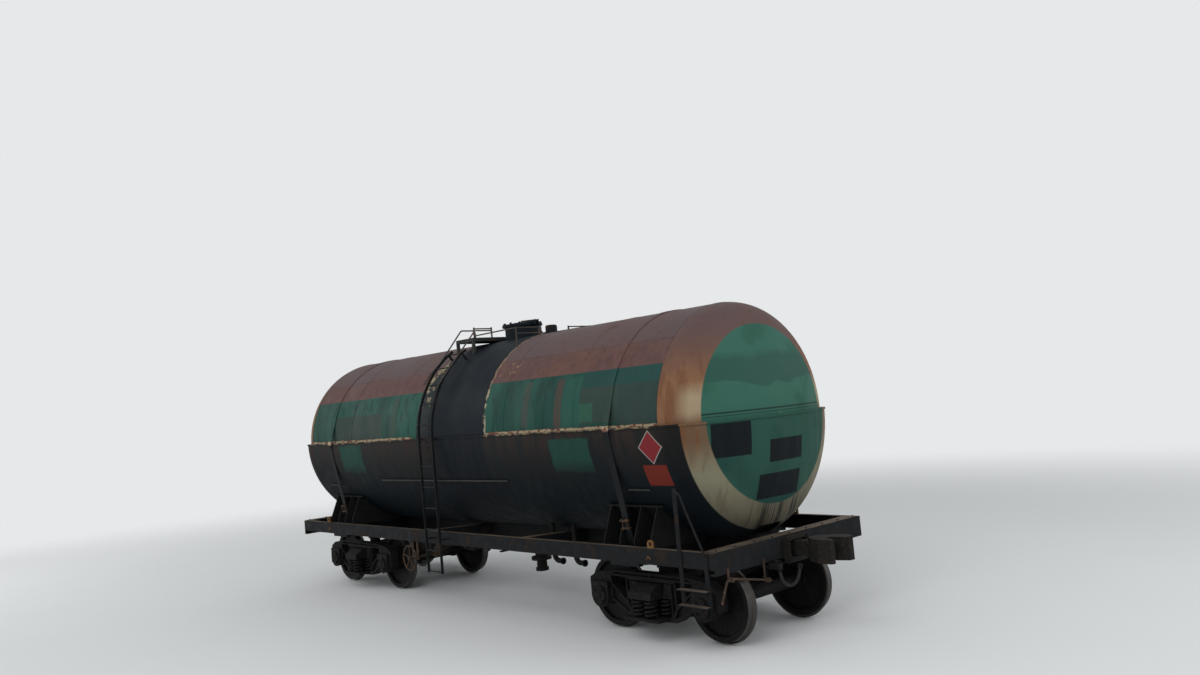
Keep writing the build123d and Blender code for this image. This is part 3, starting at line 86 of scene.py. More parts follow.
def times(tree, first, *others):
    for other in others:
        first = combine(tree, "MULTIPLY", first, other)
    return first


def ranged(tree, value, low, high, start, end):  # low..high of the value become start..end
    ends = {0: value, 1: low, 2: high, 3: start, 4: end}
    return addNode(tree, "ShaderNodeMapRange", ends).outputs[0]


def above(tree, value, low, soft):  # 1 over low and 0 under it, fading over soft on either side
    return ranged(tree, value, low - soft, low + soft, 0.0, 1.0)


def below(tree, value, high, soft):
    return ranged(tree, value, high - soft, high + soft, 1.0, 0.0)


def between(tree, value, low, high, soft):
    return times(tree, above(tree, value, low, soft), below(tree, value, high, soft))


def patch(tree, first, second, box, soft):  # mask of a rectangle: low and high on two coordinates
    across = between(tree, first, box[0], box[1], soft)
    return times(tree, across, between(tree, second, box[2], box[3], soft))


def distance(tree, first, second):
    squares = combine(tree, "ADD", times(tree, first, first), times(tree, second, second))
    return combine(tree, "POWER", squares, 0.5)


def lay(tree, under, over, mask):  # a coat of colour over another where the mask is 1
    mix = addNode(tree, "ShaderNodeMix", data_type="RGBA")
    for socket, source in ((0, mask), (6, under), (7, over)):
        if isinstance(source, bpy.types.NodeSocket):
            tree.links.new(source, mix.inputs[socket])
        else:
            code = isinstance(source, str)
            mix.inputs[socket].default_value = hexColour(source) if code else source
    return mix.outputs[2]


def grainAt(tree, place, size, detail=4.0, stretch=(1, 1, 1)):  # noise, its blotches size metres wide
    mapped = addNode(tree, "ShaderNodeMapping", {"Vector": place, "Scale": stretch}).outputs[0]
    settings = {"Vector": mapped, "Scale": 1 / size, "Detail": detail}
    return addNode(tree, "ShaderNodeTexNoise", settings).outputs["Fac"]


def roughen(tree, shader, place, size, depth, strength=0.4):  # bump, its grain size and depth in metres
    grain = grainAt(tree, place, size)
    bump = addNode(tree, "ShaderNodeBump", {"Height": grain, "Distance": depth, "Strength": strength})
    tree.links.new(bump.outputs[0], shader.inputs["Normal"])


def coloured(tree, shader, colour, roughness=None):
    tree.links.new(colour, shader.inputs["Base Color"])
    if roughness:
        tree.links.new(roughness, shader.inputs["Roughness"])


paintSettings = {  # where the paint changes: X from the middle, heights over the waist, metres
    "bandTop": 0.750,  # green band
    "bandEnd": 4.715,
    "stripe": (-0.50, 1.07),  # oil-black stripe under the manhole
    "peel": (-0.86, -0.46),  # where the band's paint has come off beside the stripe
    "peelLean": (0.86, 0.59),  # from this height up it leans along the car, by this slope
    "peelTop": 1.38,
    "seam": 1.060,  # lap seam
    "waistLine": (-0.026, 0.030),
    "waistLineFrom": 1.02,
    "faceRadius": 1.170,  # green disc on each head
    "faceFlat": 0.95,  # its lower half is painted a little flatter
    "faceBands": ((0.072, 0.092), (0.040, 0.048)),  # dark lines across the disc
    "creamStart": 5.020,
    "creamPatch": (4.99, 0.04, 0.40),  # cream left on the upper half: X from here, low, high
    "coats": (  # touched-up places on the band: X, height over the waist, colour
        ((-3.75, -2.05, 0.00, 0.46), "2c3832"),
        ((-1.75, -1.55, 0.04, 0.70), "30443b"),
        ((1.99, 2.14, 0.06, 0.70), "3b423c"),
        ((2.72, 2.87, 0.04, 0.70), "443a35"),
        ((2.92, 3.25, 0.04, 0.68), "204e43"),
        ((3.25, 4.00, 0.08, 0.56), "2f3d37"),
        ((3.25, 3.52, 0.10, 0.34), "2b5445"),
        ((4.00, 4.72, 0.00, 0.56), "2a3835"),
        ((3.30, 4.72, 0.54, 0.76), "1a403d"),
    ),
    "lowCoats": ((-3.52, -2.70, -0.56, -0.05), (2.65, 3.47, -0.56, -0.10)),  # on the jacket
    "blanks": (  # painted-over panels on the lower disc: Y, height over the waist
        (-1.12, -0.57, -0.45, -0.04),
        (-0.27, 0.39, -0.58, -0.30),
        (-0.42, 0.38, -1.03, -0.72),
    ),
    "drips": (-0.42, 0.55),  # Y of the dark runs on the cream
    "diamond": (4.585, -0.255, 0.205, 0.210),  # X, height, half width, half height
    "diamondRed": 0.91,  # share of it inside the pale edge
    "panel": (4.38, 4.78, -0.735, -0.475),
}


def tankGround(name, roughness, ior, settings):  # a material, with the places and grains of the tank
    material, tree, shader, place = newMaterial(name, roughness, ior)
    x, y, z = addNode(tree, "ShaderNodeSeparateXYZ", {0: place}).outputs
    up = combine(tree, "SUBTRACT", z, waist)
    fray = ranged(tree, grainAt(tree, place, 0.16, 6), 0.0, 1.0, -settings["fray"], settings["fray"])
    size, detail, drawn = settings["runs"]
    ground = {
        "place": place,
        "x": x,
        "far": combine(tree, "ABSOLUTE", x),
        "y": y,
        "up": up,
        "fray": fray,  # moves a painted edge to and fro
        "raggedX": combine(tree, "ADD", x, fray),
        "raggedUp": combine(tree, "ADD", up, fray),
        "blotch": grainAt(tree, place, settings["blotches"], 8),
        "fine": grainAt(tree, place, 0.09, 8),
        "run": grainAt(tree, place, size, detail, (1, 1, drawn)),  # streaks that run down the plates
    }
    return material, tree, shader, ground


tankSettings = {
    "blotches": 0.70,  # metres
    "runs": (0.12, 5, 0.10),
    "fray": 0.06,
    "crown": ("57484a", "604d4b"),  # dusty brown over the lap seam
    "underSeam": ("583f3d", "624742", "674a41"),  # redder rust below it
    "rustSpots": "4b3a37",
    "green": ("1a4038", "225045", "17322e"),
    "panelWidth": 0.46,  # of the unlike greens on the band
    "tar": "161e20",
    "flecks": ("8f8168", "94866d", "957355"),  # old cream in the tar, at its border, on the crown
    "waistLine": ("74493a", "a6977c"),  # rust, and what is left of a cream coat
    "stripe": ("060d14", "0d161e"),
    "stripeEdge": ("9d9078", "86705a"),  # worn edge beside the band, and higher up
    "ring": ("704b37", "815d43", "67422f"),
    "ringCream": "a5967a",
    "ringTop": "5f4a46",
    "disc": ("336153", "2a5147", "336154", "2a5547"),
    "discLines": "16302a",
    # underWaist: the jacket's black, partly painted shade
    "underWaist": "101315",
}


def crownCoat(tree, g):
    t = tankSettings
    crown = lay(tree, *t["crown"], above(tree, g["blotch"], 0.50, 0.14))
    lower = lay(tree, *t["underSeam"][:2], above(tree, g["run"], 0.52, 0.12))
    lower = lay(tree, lower, t["underSeam"][2], above(tree, g["blotch"], 0.60, 0.08))
    colour = lay(tree, crown, lower, below(tree, g["raggedUp"], paintSettings["seam"], 0.05))
    return lay(tree, colour, t["rustSpots"], times(tree, above(tree, g["fine"], 0.62, 0.08), 0.6))


def bandCoat(tree, g, colour):  # brushed over in panels of unlike greens, and touched up
    t, p = tankSettings, paintSettings
    panel = combine(tree, "SNAP", g["x"], t["panelWidth"])
    shade = addNode(tree, "ShaderNodeTexWhiteNoise", {"W": panel}, noise_dimensions="1D")
    green = lay(tree, *t["green"][:2], shade.outputs["Value"])
    green = lay(tree, green, t["green"][2], times(tree, above(tree, g["run"], 0.55, 0.05), 0.7))
    for box, code in p["coats"]:
        first = g["raggedX" if box[1] < 1.0 else "x"]
        second = g["raggedUp" if box[3] < p["bandTop"] else "up"]
        green = lay(tree, green, code, times(tree, patch(tree, first, second, box, 0.012), 0.85))
    left = (-p["bandEnd"], p["peel"][1], 0.0, p["bandTop"])
    right = (p["stripe"][1], p["bandEnd"], 0.0, p["bandTop"])
    band = [patch(tree, g["x"], g["up"], box, 0.006) for box in (left, right)]
    chips = above(tree, g["fine"], 0.26, 0.03)
    return lay(tree, colour, green, times(tree, combine(tree, "MAXIMUM", *band), chips))


def peeledCoat(tree, g, colour):  # tar and lost paint under the ladder, cream flecks higher up
    t, p = tankSettings, paintSettings
    start, slope = p["peelLean"]
    rise = combine(tree, "MAXIMUM", combine(tree, "SUBTRACT", g["up"], start), 0.0)
    leaning = combine(tree, "SUBTRACT", g["raggedX"], times(tree, rise, slope))
    box = (p["peel"][0], p["peel"][1] + 0.10, -0.02, p["peelTop"])
    worn = patch(tree, leaning, g["up"], box, 0.02)
    colour = lay(tree, colour, t["tar"], times(tree, worn, above(tree, g["fine"], 0.30, 0.04)))
    flecks = times(tree, worn, above(tree, g["fine"], 0.60, 0.012))
    colour = lay(tree, colour, t["flecks"][0], times(tree, flecks, above(tree, g["up"], 0.55, 0.12)))
    box = (p["peel"][0], p["peel"][0] + 0.15, 0.78, p["peelTop"] - 0.02)
    border = patch(tree, leaning, g["up"], box, 0.015)
    colour = lay(tree, colour, t["flecks"][1], times(tree, border, above(tree, g["fine"], 0.47, 0.02)))
    spots = patch(tree, g["raggedX"], g["raggedUp"], (1.12, 1.75, 0.80, 1.05), 0.03)
    return lay(tree, colour, t["flecks"][2], times(tree, spots, above(tree, g["fine"], 0.62, 0.01)))


def waistCoat(tree, g, colour):  # worn line along the waist
    t, p = tankSettings, paintSettings
    brushed = combine(tree, "ADD", g["up"], times(tree, g["fray"], 0.35))
    line = between(tree, brushed, *p["waistLine"], 0.006)
    reach = between(tree, g["far"], p["waistLineFrom"], p["bandEnd"] - 0.015, 0.01)
    line = times(tree, line, reach)
    colour = lay(tree, colour, t["waistLine"][0], line)
    cream = times(tree, line, above(tree, g["fine"], 0.46, 0.02))
    return lay(tree, colour, t["waistLine"][1], cream)


def stripeCoat(tree, g, colour):
    t, p = tankSettings, paintSettings
    left, right = p["stripe"]
    frayed = between(tree, g["raggedX"], left, right, 0.01)
    solid = patch(tree, g["x"], g["up"], (left + 0.10, right - 0.02, -1.0, 2.0), 0.01)
    black = lay(tree, *t["stripe"], g["blotch"])
    colour = lay(tree, colour, black, combine(tree, "MAXIMUM", frayed, solid))
    low = ((right - 0.015, right + 0.035, 0.0, 0.66), 0.50, 0.02)
    high = ((right - 0.010, right + 0.030, 0.66, 1.47), 0.44, 0.03)
    for code, (box, chips, soft) in zip(t["stripeEdge"], (low, high)):
        edge = patch(tree, g["raggedX"], g["up"], box, 0.008)
        colour = lay(tree, colour, code, times(tree, edge, above(tree, g["fine"], chips, soft)))
    return colour


def headCoat(tree, g, colour):  # brown rust ring with a rest of cream low on it, then the green disc
    t, p = tankSettings, paintSettings
    ring = above(tree, g["far"], p["bandEnd"], 0.004)
    rust = lay(tree, *t["ring"][:2], above(tree, g["blotch"], 0.46, 0.12))
    rust = lay(tree, rust, t["ring"][2], times(tree, above(tree, g["run"], 0.54, 0.06), 0.6))
    start, low, high = p["creamPatch"]
    cream = times(tree, above(tree, g["far"], start, 0.07), between(tree, g["raggedUp"], low, high, 0.10))
    rust = lay(tree, rust, t["ringCream"], times(tree, cream, 0.8))
    rust = lay(tree, rust, t["ringTop"], above(tree, g["up"], 0.78, 0.30))
    colour = lay(tree, colour, rust, times(tree, ring, below(tree, g["up"], 1.25, 0.25)))
    fromAxis = distance(tree, g["y"], g["up"])
    disc = times(tree, below(tree, fromAxis, p["faceRadius"], 0.008), ring)
    wavy = times(tree, grainAt(tree, g["place"], 0.55, 3), 0.30)
    brushEdge = combine(tree, "ADD", g["up"], wavy)
    green = lay(tree, *t["disc"][:2], above(tree, brushEdge, 0.58, 0.012))
    green = lay(tree, green, t["disc"][2], above(tree, brushEdge, 0.93, 0.05))
    green = lay(tree, green, t["disc"][3], times(tree, above(tree, g["blotch"], 0.54, 0.04), 0.7))
    colour = lay(tree, colour, green, disc)
    for low, high in p["faceBands"]:
        line = times(tree, between(tree, g["up"], low, high, 0.004), disc)
        colour = lay(tree, colour, t["discLines"], line)
    return colour


def tankPaint():
    # Oil paint brushed over older coats on steel plate, faded and rusting: soft gloss, patchy colour
    material, tree, shader, g = tankGround("fadedOilPaint", 0.62, 1.24, tankSettings)
    colour = crownCoat(tree, g)
    for coat in (bandCoat, peeledCoat, waistCoat, stripeCoat, headCoat):
        colour = coat(tree, g, colour)
    # what the tie bands carry below the waist is the jacket's black, which is partly painted shade
    colour = lay(tree, colour, tankSettings["underWaist"], below(tree, g["up"], -0.04, 0.01))
    coloured(tree, shader, colour, ranged(tree, g["blotch"], 0.3, 0.7, 0.55, 0.75))
    roughen(tree, shader, g["place"], 0.05, 0.002)
    return material


jacketSettings = {
    "blotches": 0.80,  # metres
    "runs": (0.14, 6, 0.08),
    "fray": 0.05,
    # ground: oil-soaked black, deepened as painted shade of the underside
    "ground": ("0e1417", "171716"),
    "brown": "2b2320",
    # low: painted shade, darker towards the bottom where the jacket turns under
    "low": "060f14",
    "lowCoats": "1a3d34",
    "stripe": "090f14",
    "cream": ("777462", "858069"),
    "creamStain": "6b4a33",
    "creamLow": "4f4a40",
    "creamDrips": "1f2020",
    "creamRuns": "5f5546",
    "disc": ("20433c", "294e43"),
    "blanks": "0e1519",
    "diamond": ("8c8782", "75262b"),
    "panel": "66251b",
    "rim": "7d7059",
}


def soakedCoat(tree, g):
    j, p = jacketSettings, paintSettings
    colour = lay(tree, *j["ground"], above(tree, g["blotch"], 0.48, 0.10))
    brown = times(tree, above(tree, g["run"], 0.50, 0.10), above(tree, g["up"], -0.45, 0.25))
    colour = lay(tree, colour, j["brown"], brown)
    # painted shade: near black towards the bottom of the jacket
    colour = lay(tree, colour, j["low"], below(tree, g["up"], -0.50, 0.45))
    for box in p["lowCoats"]:
        coat = patch(tree, g["raggedX"], g["raggedUp"], box, 0.015)
        coat = times(tree, coat, above(tree, g["up"], -0.50, 0.12), above(tree, g["fine"], 0.30, 0.03))
        colour = lay(tree, colour, j["lowCoats"], coat)
    left, right = p["stripe"]
    return lay(tree, colour, j["stripe"], between(tree, g["raggedX"], left + 0.25, right + 0.05, 0.05))


def ringCoat(tree, g, colour):  # cream, stained brown where it starts, and the disc with its panels
    j, p = jacketSettings, paintSettings
    ring = above(tree, g["far"], p["creamStart"], 0.006)
    cream = lay(tree, *j["cream"], g["blotch"])
    stain = times(tree, above(tree, g["raggedUp"], -0.42, 0.20), above(tree, g["blotch"], 0.40, 0.15))
    cream = lay(tree, cream, j["creamStain"], stain)
    cream = lay(tree, cream, j["creamLow"], times(tree, below(tree, g["up"], -1.00, 0.30), 0.75))
    # drips go by Y alone, so that they hang straight on the curved head
    drips = above(tree, grainAt(tree, g["place"], 0.07, 3, (0, 1, 0.02)), 0.53, 0.04)
    drips = times(tree, drips, between(tree, g["facingY"], *p["drips"], 0.2), 0.85)
    drips = times(tree, drips, below(tree, g["up"], -1.05, 0.15))
    cream = lay(tree, cream, j["creamDrips"], drips)
    cream = lay(tree, cream, j["creamRuns"], times(tree, above(tree, g["run"], 0.58, 0.04), 0.5))
    colour = lay(tree, colour, cream, ring)
    fromAxis = distance(tree, g["y"], combine(tree, "DIVIDE", g["up"], p["faceFlat"]))
    green = lay(tree, *j["disc"], above(tree, g["blotch"], 0.48, 0.06))
    for box in p["blanks"]:
        green = lay(tree, green, j["blanks"], patch(tree, g["facingY"], g["up"], box, 0.006))
    disc = below(tree, fromAxis, p["faceRadius"], 0.008)
    return lay(tree, colour, green, times(tree, disc, ring))


def signCoat(tree, g, colour):  # blank danger diamond and blank orange panel near each end
    j, p = jacketSettings, paintSettings
    near = below(tree, g["facingY"], 0.0, 0.01)
    middle, height, wide, tall = p["diamond"]
    shift = combine(tree, "ABSOLUTE", combine(tree, "SUBTRACT", g["far"], middle))
    drop = combine(tree, "ABSOLUTE", combine(tree, "SUBTRACT", g["up"], height))
    parts = [combine(tree, "DIVIDE", *pair) for pair in ((shift, wide), (drop, tall))]
    diamond = combine(tree, "ADD", *parts)
    for code, size in zip(j["diamond"], (1.0, p["diamondRed"])):
        colour = lay(tree, colour, code, times(tree, below(tree, diamond, size, 0.015), near))
    panel = times(tree, patch(tree, g["far"], g["up"], p["panel"], 0.006), near)
    return lay(tree, colour, j["panel"], times(tree, panel, above(tree, g["fine"], 0.28, 0.03)))


def jacketPaint():
    # The same paint on the steam jacket, soaked with oil and darkened further as painted shade of the
    # shadowed underside: near black, a little shine where it has run
    material, tree, shader, g = tankGround("oilSoakedPaintPaintedShade", 0.6, 1.2, jacketSettings)
    # Y as it is seen from each end, so that both ends carry the same signs on the same side
    g["facingY"] = times(tree, g["y"], combine(tree, "SIGN", g["x"]))
    colour = soakedCoat(tree, g)
    colour = ringCoat(tree, g, colour)
    colour = signCoat(tree, g, colour)
    # worn edge of the rim at the waist
    rim = times(tree, above(tree, g["raggedUp"], -0.012, 0.008), above(tree, g["fine"], 0.48, 0.04))
    rim = times(tree, rim, between(tree, g["far"], 1.10, 4.68, 0.02))
    colour = lay(tree, colour, jacketSettings["rim"], rim)
    coloured(tree, shader, colour, ranged(tree, g["run"], 0.35, 0.65, 0.55, 0.70))
    roughen(tree, shader, g["place"], 0.05, 0.002)
    return material


def wornPaint(name, base, dark, rust, roughness=0.6, grain=0.12, dust=None):
    # Brushed enamel on rolled or pressed steel: dull, with rust at chips and dust where it can lie
    material, tree, shader, place = newMaterial(name, roughness, 1.28)
    blotch = grainAt(tree, place, 0.5, 8)
    fine = grainAt(tree, place, grain, 8)
    colour = lay(tree, base, dark, above(tree, blotch, 0.50, 0.12))
    colour = lay(tree, colour, rust, above(tree, fine, 0.60, 0.05))
    if dust:  # road dust that has settled on what faces up
        normal = addNode(tree, "ShaderNodeNewGeometry").outputs["Normal"]
        level = addNode(tree, "ShaderNodeSeparateXYZ", {0: normal}).outputs[2]
        lying = times(tree, above(tree, level, 0.8, 0.1), above(tree, blotch, 0.40, 0.25))
        colour = lay(tree, colour, dust, lying)
    coloured(tree, shader, colour, ranged(tree, fine, 0.3, 0.7, roughness - 0.1, roughness + 0.15))
    roughen(tree, shader, place, grain / 4, 0.0015)
    return material


def castSteel(name, base, dark, dust):
    # Sand-cast steel, black with oil and brake dust, its black deepened as painted shade of the shadowed
    # running gear: coarse skin, the dust takes the shine away
    material, tree, shader, place = newMaterial(name, 0.75, 1.25)
    blotch = grainAt(tree, place, 0.30, 8)
    fine = grainAt(tree, place, 0.04, 6)
    colour = lay(tree, base, dark, above(tree, blotch, 0.48, 0.10))
    colour = lay(tree, colour, dust, times(tree, above(tree, fine, 0.56, 0.08), 0.6))
    coloured(tree, shader, colour)
    roughen(tree, shader, place, 0.012, 0.0012, 0.6)
    return material


wheelSettings = {
    "tread": 0.4695,  # radius from which the metal is bare
    "rust": ("08090c", "100f0f", "241d19"),
    # bare tread metal kept dark: painted shade of the shadowed wheels
    "metal": "4d4b49",
}


def rolledWheel():
    # Rolled steel: dark brown rust and brake dust on web and rim, worn smooth only on the tread, whose
    # bare metal is darkened as painted shade
    w = wheelSettings
    material, tree, shader, place = newMaterial("rolledWheelSteel", 0.65, 1.25)
    colour = lay(tree, *w["rust"][:2], above(tree, grainAt(tree, place, 0.25, 8), 0.48, 0.12))
    colour = lay(tree, colour, w["rust"][2], above(tree, grainAt(tree, place, 0.03, 6), 0.60, 0.05))
    x, y, z = addNode(tree, "ShaderNodeSeparateXYZ", {0: place}).outputs
    along = combine(tree, "ABSOLUTE", x)
    for reach in (bogies["a"], axleReach):
        along = combine(tree, "SUBTRACT", along, reach)
        along = combine(tree, "ABSOLUTE", along)
    fromAxle = distance(tree, along, combine(tree, "SUBTRACT", z, axleHeight))
    tread = above(tree, fromAxle, w["tread"], 0.0008)
    tree.links.new(tread, shader.inputs["Metallic"])
    coloured(tree, shader, lay(tree, colour, w["metal"], tread), ranged(tree, tread, 0.0, 1.0, 0.65, 0.42))
    roughen(tree, shader, place, 0.01, 0.0008, 0.5)
    return material


def blackRubber():
    # Moulded rubber hose, matt, with dust: almost no highlight
    material, tree, shader, place = newMaterial("mouldedRubber", 0.8)
    fine = grainAt(tree, place, 0.02, 5)
    coloured(tree, shader, lay(tree, "0c0c0d", "161514", above(tree, fine, 0.52, 0.08)))
    roughen(tree, shader, place, 0.004, 0.0004)
    return material


finishes = {  # worn paints: ground, darker blotches, rust, roughness, grain in metres, dust
    "tank_paint": tankPaint(),
    "jacket_paint": jacketPaint(),
    "trim_paint": wornPaint("wornTrimPaint", "0f1417", "0b1013", "29211c", 0.7),
    # frame paint: the ground is darkened as painted shade of the shadowed frame, with dust on what faces
    # up
    "frame_paint": wornPaint(
        "dustyFramePaintPaintedShade", "101214", "0c0e11", "241d19", 0.75, 0.16, "62564a"
    ),
    "yellow_paint": wornPaint("wornYellowPaint", "6b4e2a", "573f25", "3f2d24", 0.6, 0.04),
    "rail_paint": wornPaint("weatheredRailPaint", "45423f", "383634", "584539", 0.7, 0.08),
    "deck_paint": wornPaint("weatheredDeckPaint", "313532", "272a29", "43372f", 0.72, 0.10),
    "rusty_iron": wornPaint("rustyForgedIron", "43342d", "33291f", "5d4433", 0.75, 0.06),
    # bogie steel: near black, partly painted shade of the running gear
    "bogie_steel": castSteel("oilyCastSteelPaintedShade", "0b0c0e", "121213", "26211d"),
    "brake_steel": castSteel("oilyBrakeSteel", "101011", "171615", "2b2520"),
    "coupler_steel": castSteel("wornCouplerSteel", "141414", "1b1a19", "302821"),
    # underframe paint: its near black is painted shade of the dark space under the tank
    "under_paint": castSteel("underframePaintPaintedShade", "0d0f10", "121314", "211c19"),
    "wheel_steel": rolledWheel(),
    "hose_rubber": blackRubber(),
}
finishes["head_paint"] = finishes["tank_paint"]
otherFinish = {  # painted with what they stand on, or beside
    "tie_bands": "tank_paint",
    "safety_valve": "trim_paint",
    "railings": "rail_paint",
    "platform_deck": "deck_paint",
    "jacket_bars": "deck_paint",
    "handbrake": "rusty_iron",
    "uncoupling_levers": "rusty_iron",
    # near-black saddles, bolsters and centre sill: painted shade under the tank
    "saddles": "under_paint",
    "bolster_beams": "under_paint",
    "centre_sill": "under_paint",
}
for entry in frame["record"]["subparts"]:
    finish = finishes[otherFinish.get(entry["node"], entry["material_slot"])]
    for holder in frame["nodes"][entry["node"]].material_slots:
        holder.material = finish
print("finishes done")

cameraSettings = {
    "place": (12.8837, -9.6398, 3.1126),
    "yaw": 48.058,  # degrees left of +Y
    "pitch": 3.700,
    "roll": -5.089,
    "lens": 28.657,
    "sensor": 36,  # millimetres wide
}


def placeCamera():
    c = cameraSettings
    yaw, pitch, roll = (math.radians(c[name]) for name in ("yaw", "pitch", "roll"))
    level = Vector((math.cos(yaw), math.sin(yaw), 0))
    ahead = Vector((-math.sin(yaw) * math.cos(pitch), math.cos(yaw) * math.cos(pitch), math.sin(pitch)))
    upright = level.cross(ahead)
    right = level * math.cos(roll) + upright * math.sin(roll)
    top = upright * math.cos(roll) - level * math.sin(roll)
    data = bpy.data.cameras.new("camera")
    data.lens = c["lens"]
    data.sensor_width = c["sensor"]
    data.clip_end = 500
    camera = bpy.data.objects.new("camera", data)
    turn = Matrix((right, top, -ahead)).transposed().to_4x4()
    camera.matrix_world = Matrix.Translation(c["place"]) @ turn
    bpy.context.collection.objects.link(camera)
    bpy.context.scene.camera = camera


lightSettings = {
    "key": ((9, -14, 13), 12, 1150),  # place, size, watts
    "fill": ((-14, -10, 8), 12, 520),
    "end": ((16, 6, 9), 10, 560),
    "aim": (0, 0, 2),
    "sky": 0.62,  # strength with which the world lights the car
    "pale": "e6e8e9",
}


def seenRays(tree):  # 1 where the camera, a reflection or glass looks, 0 where a ray only lights
    rays = addNode(tree, "ShaderNodeLightPath").outputs
    seen = combine(tree, "MAXIMUM", rays["Is Camera Ray"], rays["Is Glossy Ray"])
    return combine(tree, "MAXIMUM", seen, rays["Is Transmission Ray"])


def placeLights():
    s = lightSettings
    for name in ("key", "fill", "end"):
        spot, size, power = s[name]
        data = bpy.data.lights.new(name + "Light", "AREA")
        data.size = size
        data.energy = power
        light = bpy.data.objects.new(name + "Light", data)
        light.location = spot
        light.rotation_euler = (Vector(s["aim"]) - Vector(spot)).to_track_quat("-Z", "Y").to_euler()
        bpy.context.collection.objects.link(light)
    world = bpy.data.worlds.new("studio")
    world.use_nodes = True
    tree = world.node_tree
    background = tree.nodes["Background"]
    background.inputs["Color"].default_value = hexColour(s["pale"])
    strength = ranged(tree, seenRays(tree), 0.0, 1.0, s["sky"], 1.0)
    tree.links.new(strength, background.inputs["Strength"])
    bpy.context.scene.world = world
    bpy.context.scene.view_settings.view_transform = "Standard"


floorSettings = {"size": 80, "colours": ("e6e8e9", "e3e5e6"), "fade": (10.0, 26.0)}


def placeFloor():
    f = floorSettings
    shape = bmesh.new()
    bmesh.ops.create_grid(shape, x_segments=1, y_segments=1, size=f["size"])
    mesh = bpy.data.meshes.new("floor")
    shape.to_mesh(mesh)
    shape.free()
    floor = bpy.data.objects.new("floor", mesh)
    bpy.context.collection.objects.link(floor)
    # Matt painted studio floor; far from the car it shows the plain pale ground, with no horizon
    material, tree, shader, place = newMaterial("paleFloor", 0.95)
    coloured(tree, shader, lay(tree, *f["colours"], grainAt(tree, place, 2.0, 3)))
    away = addNode(tree, "ShaderNodeVectorMath", {0: place}, operation="LENGTH").outputs["Value"]
    ends = {0: away, 1: f["fade"][0], 2: f["fade"][1], 3: 0.0, 4: 1.0}
    away = addNode(tree, "ShaderNodeMapRange", ends, interpolation_type="SMOOTHSTEP").outputs[0]
    pale = {"Color": hexColour(lightSettings["pale"]), "Strength": 1.0}
    ground = addNode(tree, "ShaderNodeEmission", pale).outputs[0]
    shown = times(tree, away, seenRays(tree))
    cover = addNode(tree, "ShaderNodeMixShader", {0: shown, 1: shader.outputs[0], 2: ground})
    tree.links.new(cover.outputs[0], tree.nodes["Material Output"].inputs["Surface"])
    mesh.materials.append(material)


placeCamera()
placeLights()
placeFloor()
print("camera, lights and floor done")


def addPiece(name, shape, finish, body):  # bmesh to an object that rides on a CAD body
    mesh = bpy.data.meshes.new(name)
    shape.to_mesh(mesh)
    shape.free()
    piece = bpy.data.objects.new(name, mesh)
    bpy.context.collection.objects.link(piece)
    mesh.materials.append(finishes[finish])
    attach(piece, body)
    return piece


def facing(spot, along):  # matrix whose Z runs along a direction from a spot
    return Matrix.Translation(spot) @ Vector(along).to_track_quat("Z", "Y").to_matrix().to_4x4()


def addCylinder(shape, spot, along, radius, length, sides=24, tip=None):
    middle = Vector(spot) + Vector(along).normalized() * length / 2
    bmesh.ops.create_cone(
        shape,
        cap_ends=True,
        segments=sides,
        radius1=radius,
        radius2=radius if tip is None else tip,
        depth=length,
        matrix=facing(middle, along),
    )


headShape = {"corner": 0.577, "top": 0.52, "washer": 0.62, "washerHeight": 0.15}


def addHex(shape, spot, along, across, height):  # bolt head with its washer, by its width over the flats
    h = headShape
    addCylinder(shape, spot, along, h["washer"] * across, h["washerHeight"] * height, 16)
    addCylinder(shape, spot, along, h["corner"] * across, height, 6, h["top"] * across)


def boltCircle(shape, centre, along, ring, count, across, height, shift=0.5):
    axes = [Vector(axis) for axis in ((1, 0, 0), (0, 1, 0), (0, 0, 1))]
    first, second = [axis for axis in axes if axis.dot(Vector(along)) == 0]
    for number in range(count):
        angle = 2 * math.pi * (number + shift) / count
        spot = Vector(centre) + ring * (math.cos(angle) * first + math.sin(angle) * second)
        addHex(shape, spot, along, across, height)


def addBlock(shape, low, high):
    size = Vector(high) - Vector(low)
    place = Matrix.Translation((Vector(high) + Vector(low)) / 2) @ Matrix.Diagonal((*size, 1))
    bmesh.ops.create_cube(shape, size=1, matrix=place)


def addBar(shape, spot, turn, size):  # a block of the given size, turned about its middle
    place = Matrix.Translation(spot) @ turn @ Matrix.Diagonal((*size, 1))
    bmesh.ops.create_cube(shape, size=1, matrix=place)


def lastFace(grown):
    return [part for part in grown if isinstance(part, bmesh.types.BMFace)][0]


def addDisc(shape, radius, sides, place):
    made = bmesh.ops.create_circle(shape, cap_ends=True, radius=radius, segments=sides, matrix=place)
    return made["verts"][0].link_faces[0]


def addTube(shape, points, radius, sides=10):  # round rod: a disc extruded from point to point
    points = [Vector(point) for point in points]
    runs = [(end - start).normalized() for start, end in zip(points, points[1:])]
    along = runs[0]
    tip = addDisc(shape, radius, sides, facing(points[0], along))
    for number, (start, end) in enumerate(zip(points, points[1:])):
        following = (runs[number] + runs[min(number + 1, len(runs) - 1)]).normalized()
        tip = lastFace(bmesh.ops.extrude_face_region(shape, geom=[tip])["geom"])
        turn = along.rotation_difference(following).to_matrix().to_4x4()
        move = Matrix.Translation(end) @ turn @ Matrix.Translation(-start)
        bmesh.ops.transform(shape, matrix=move, verts=tip.verts)
        along = following
    bmesh.ops.recalc_face_normals(shape, faces=shape.faces)


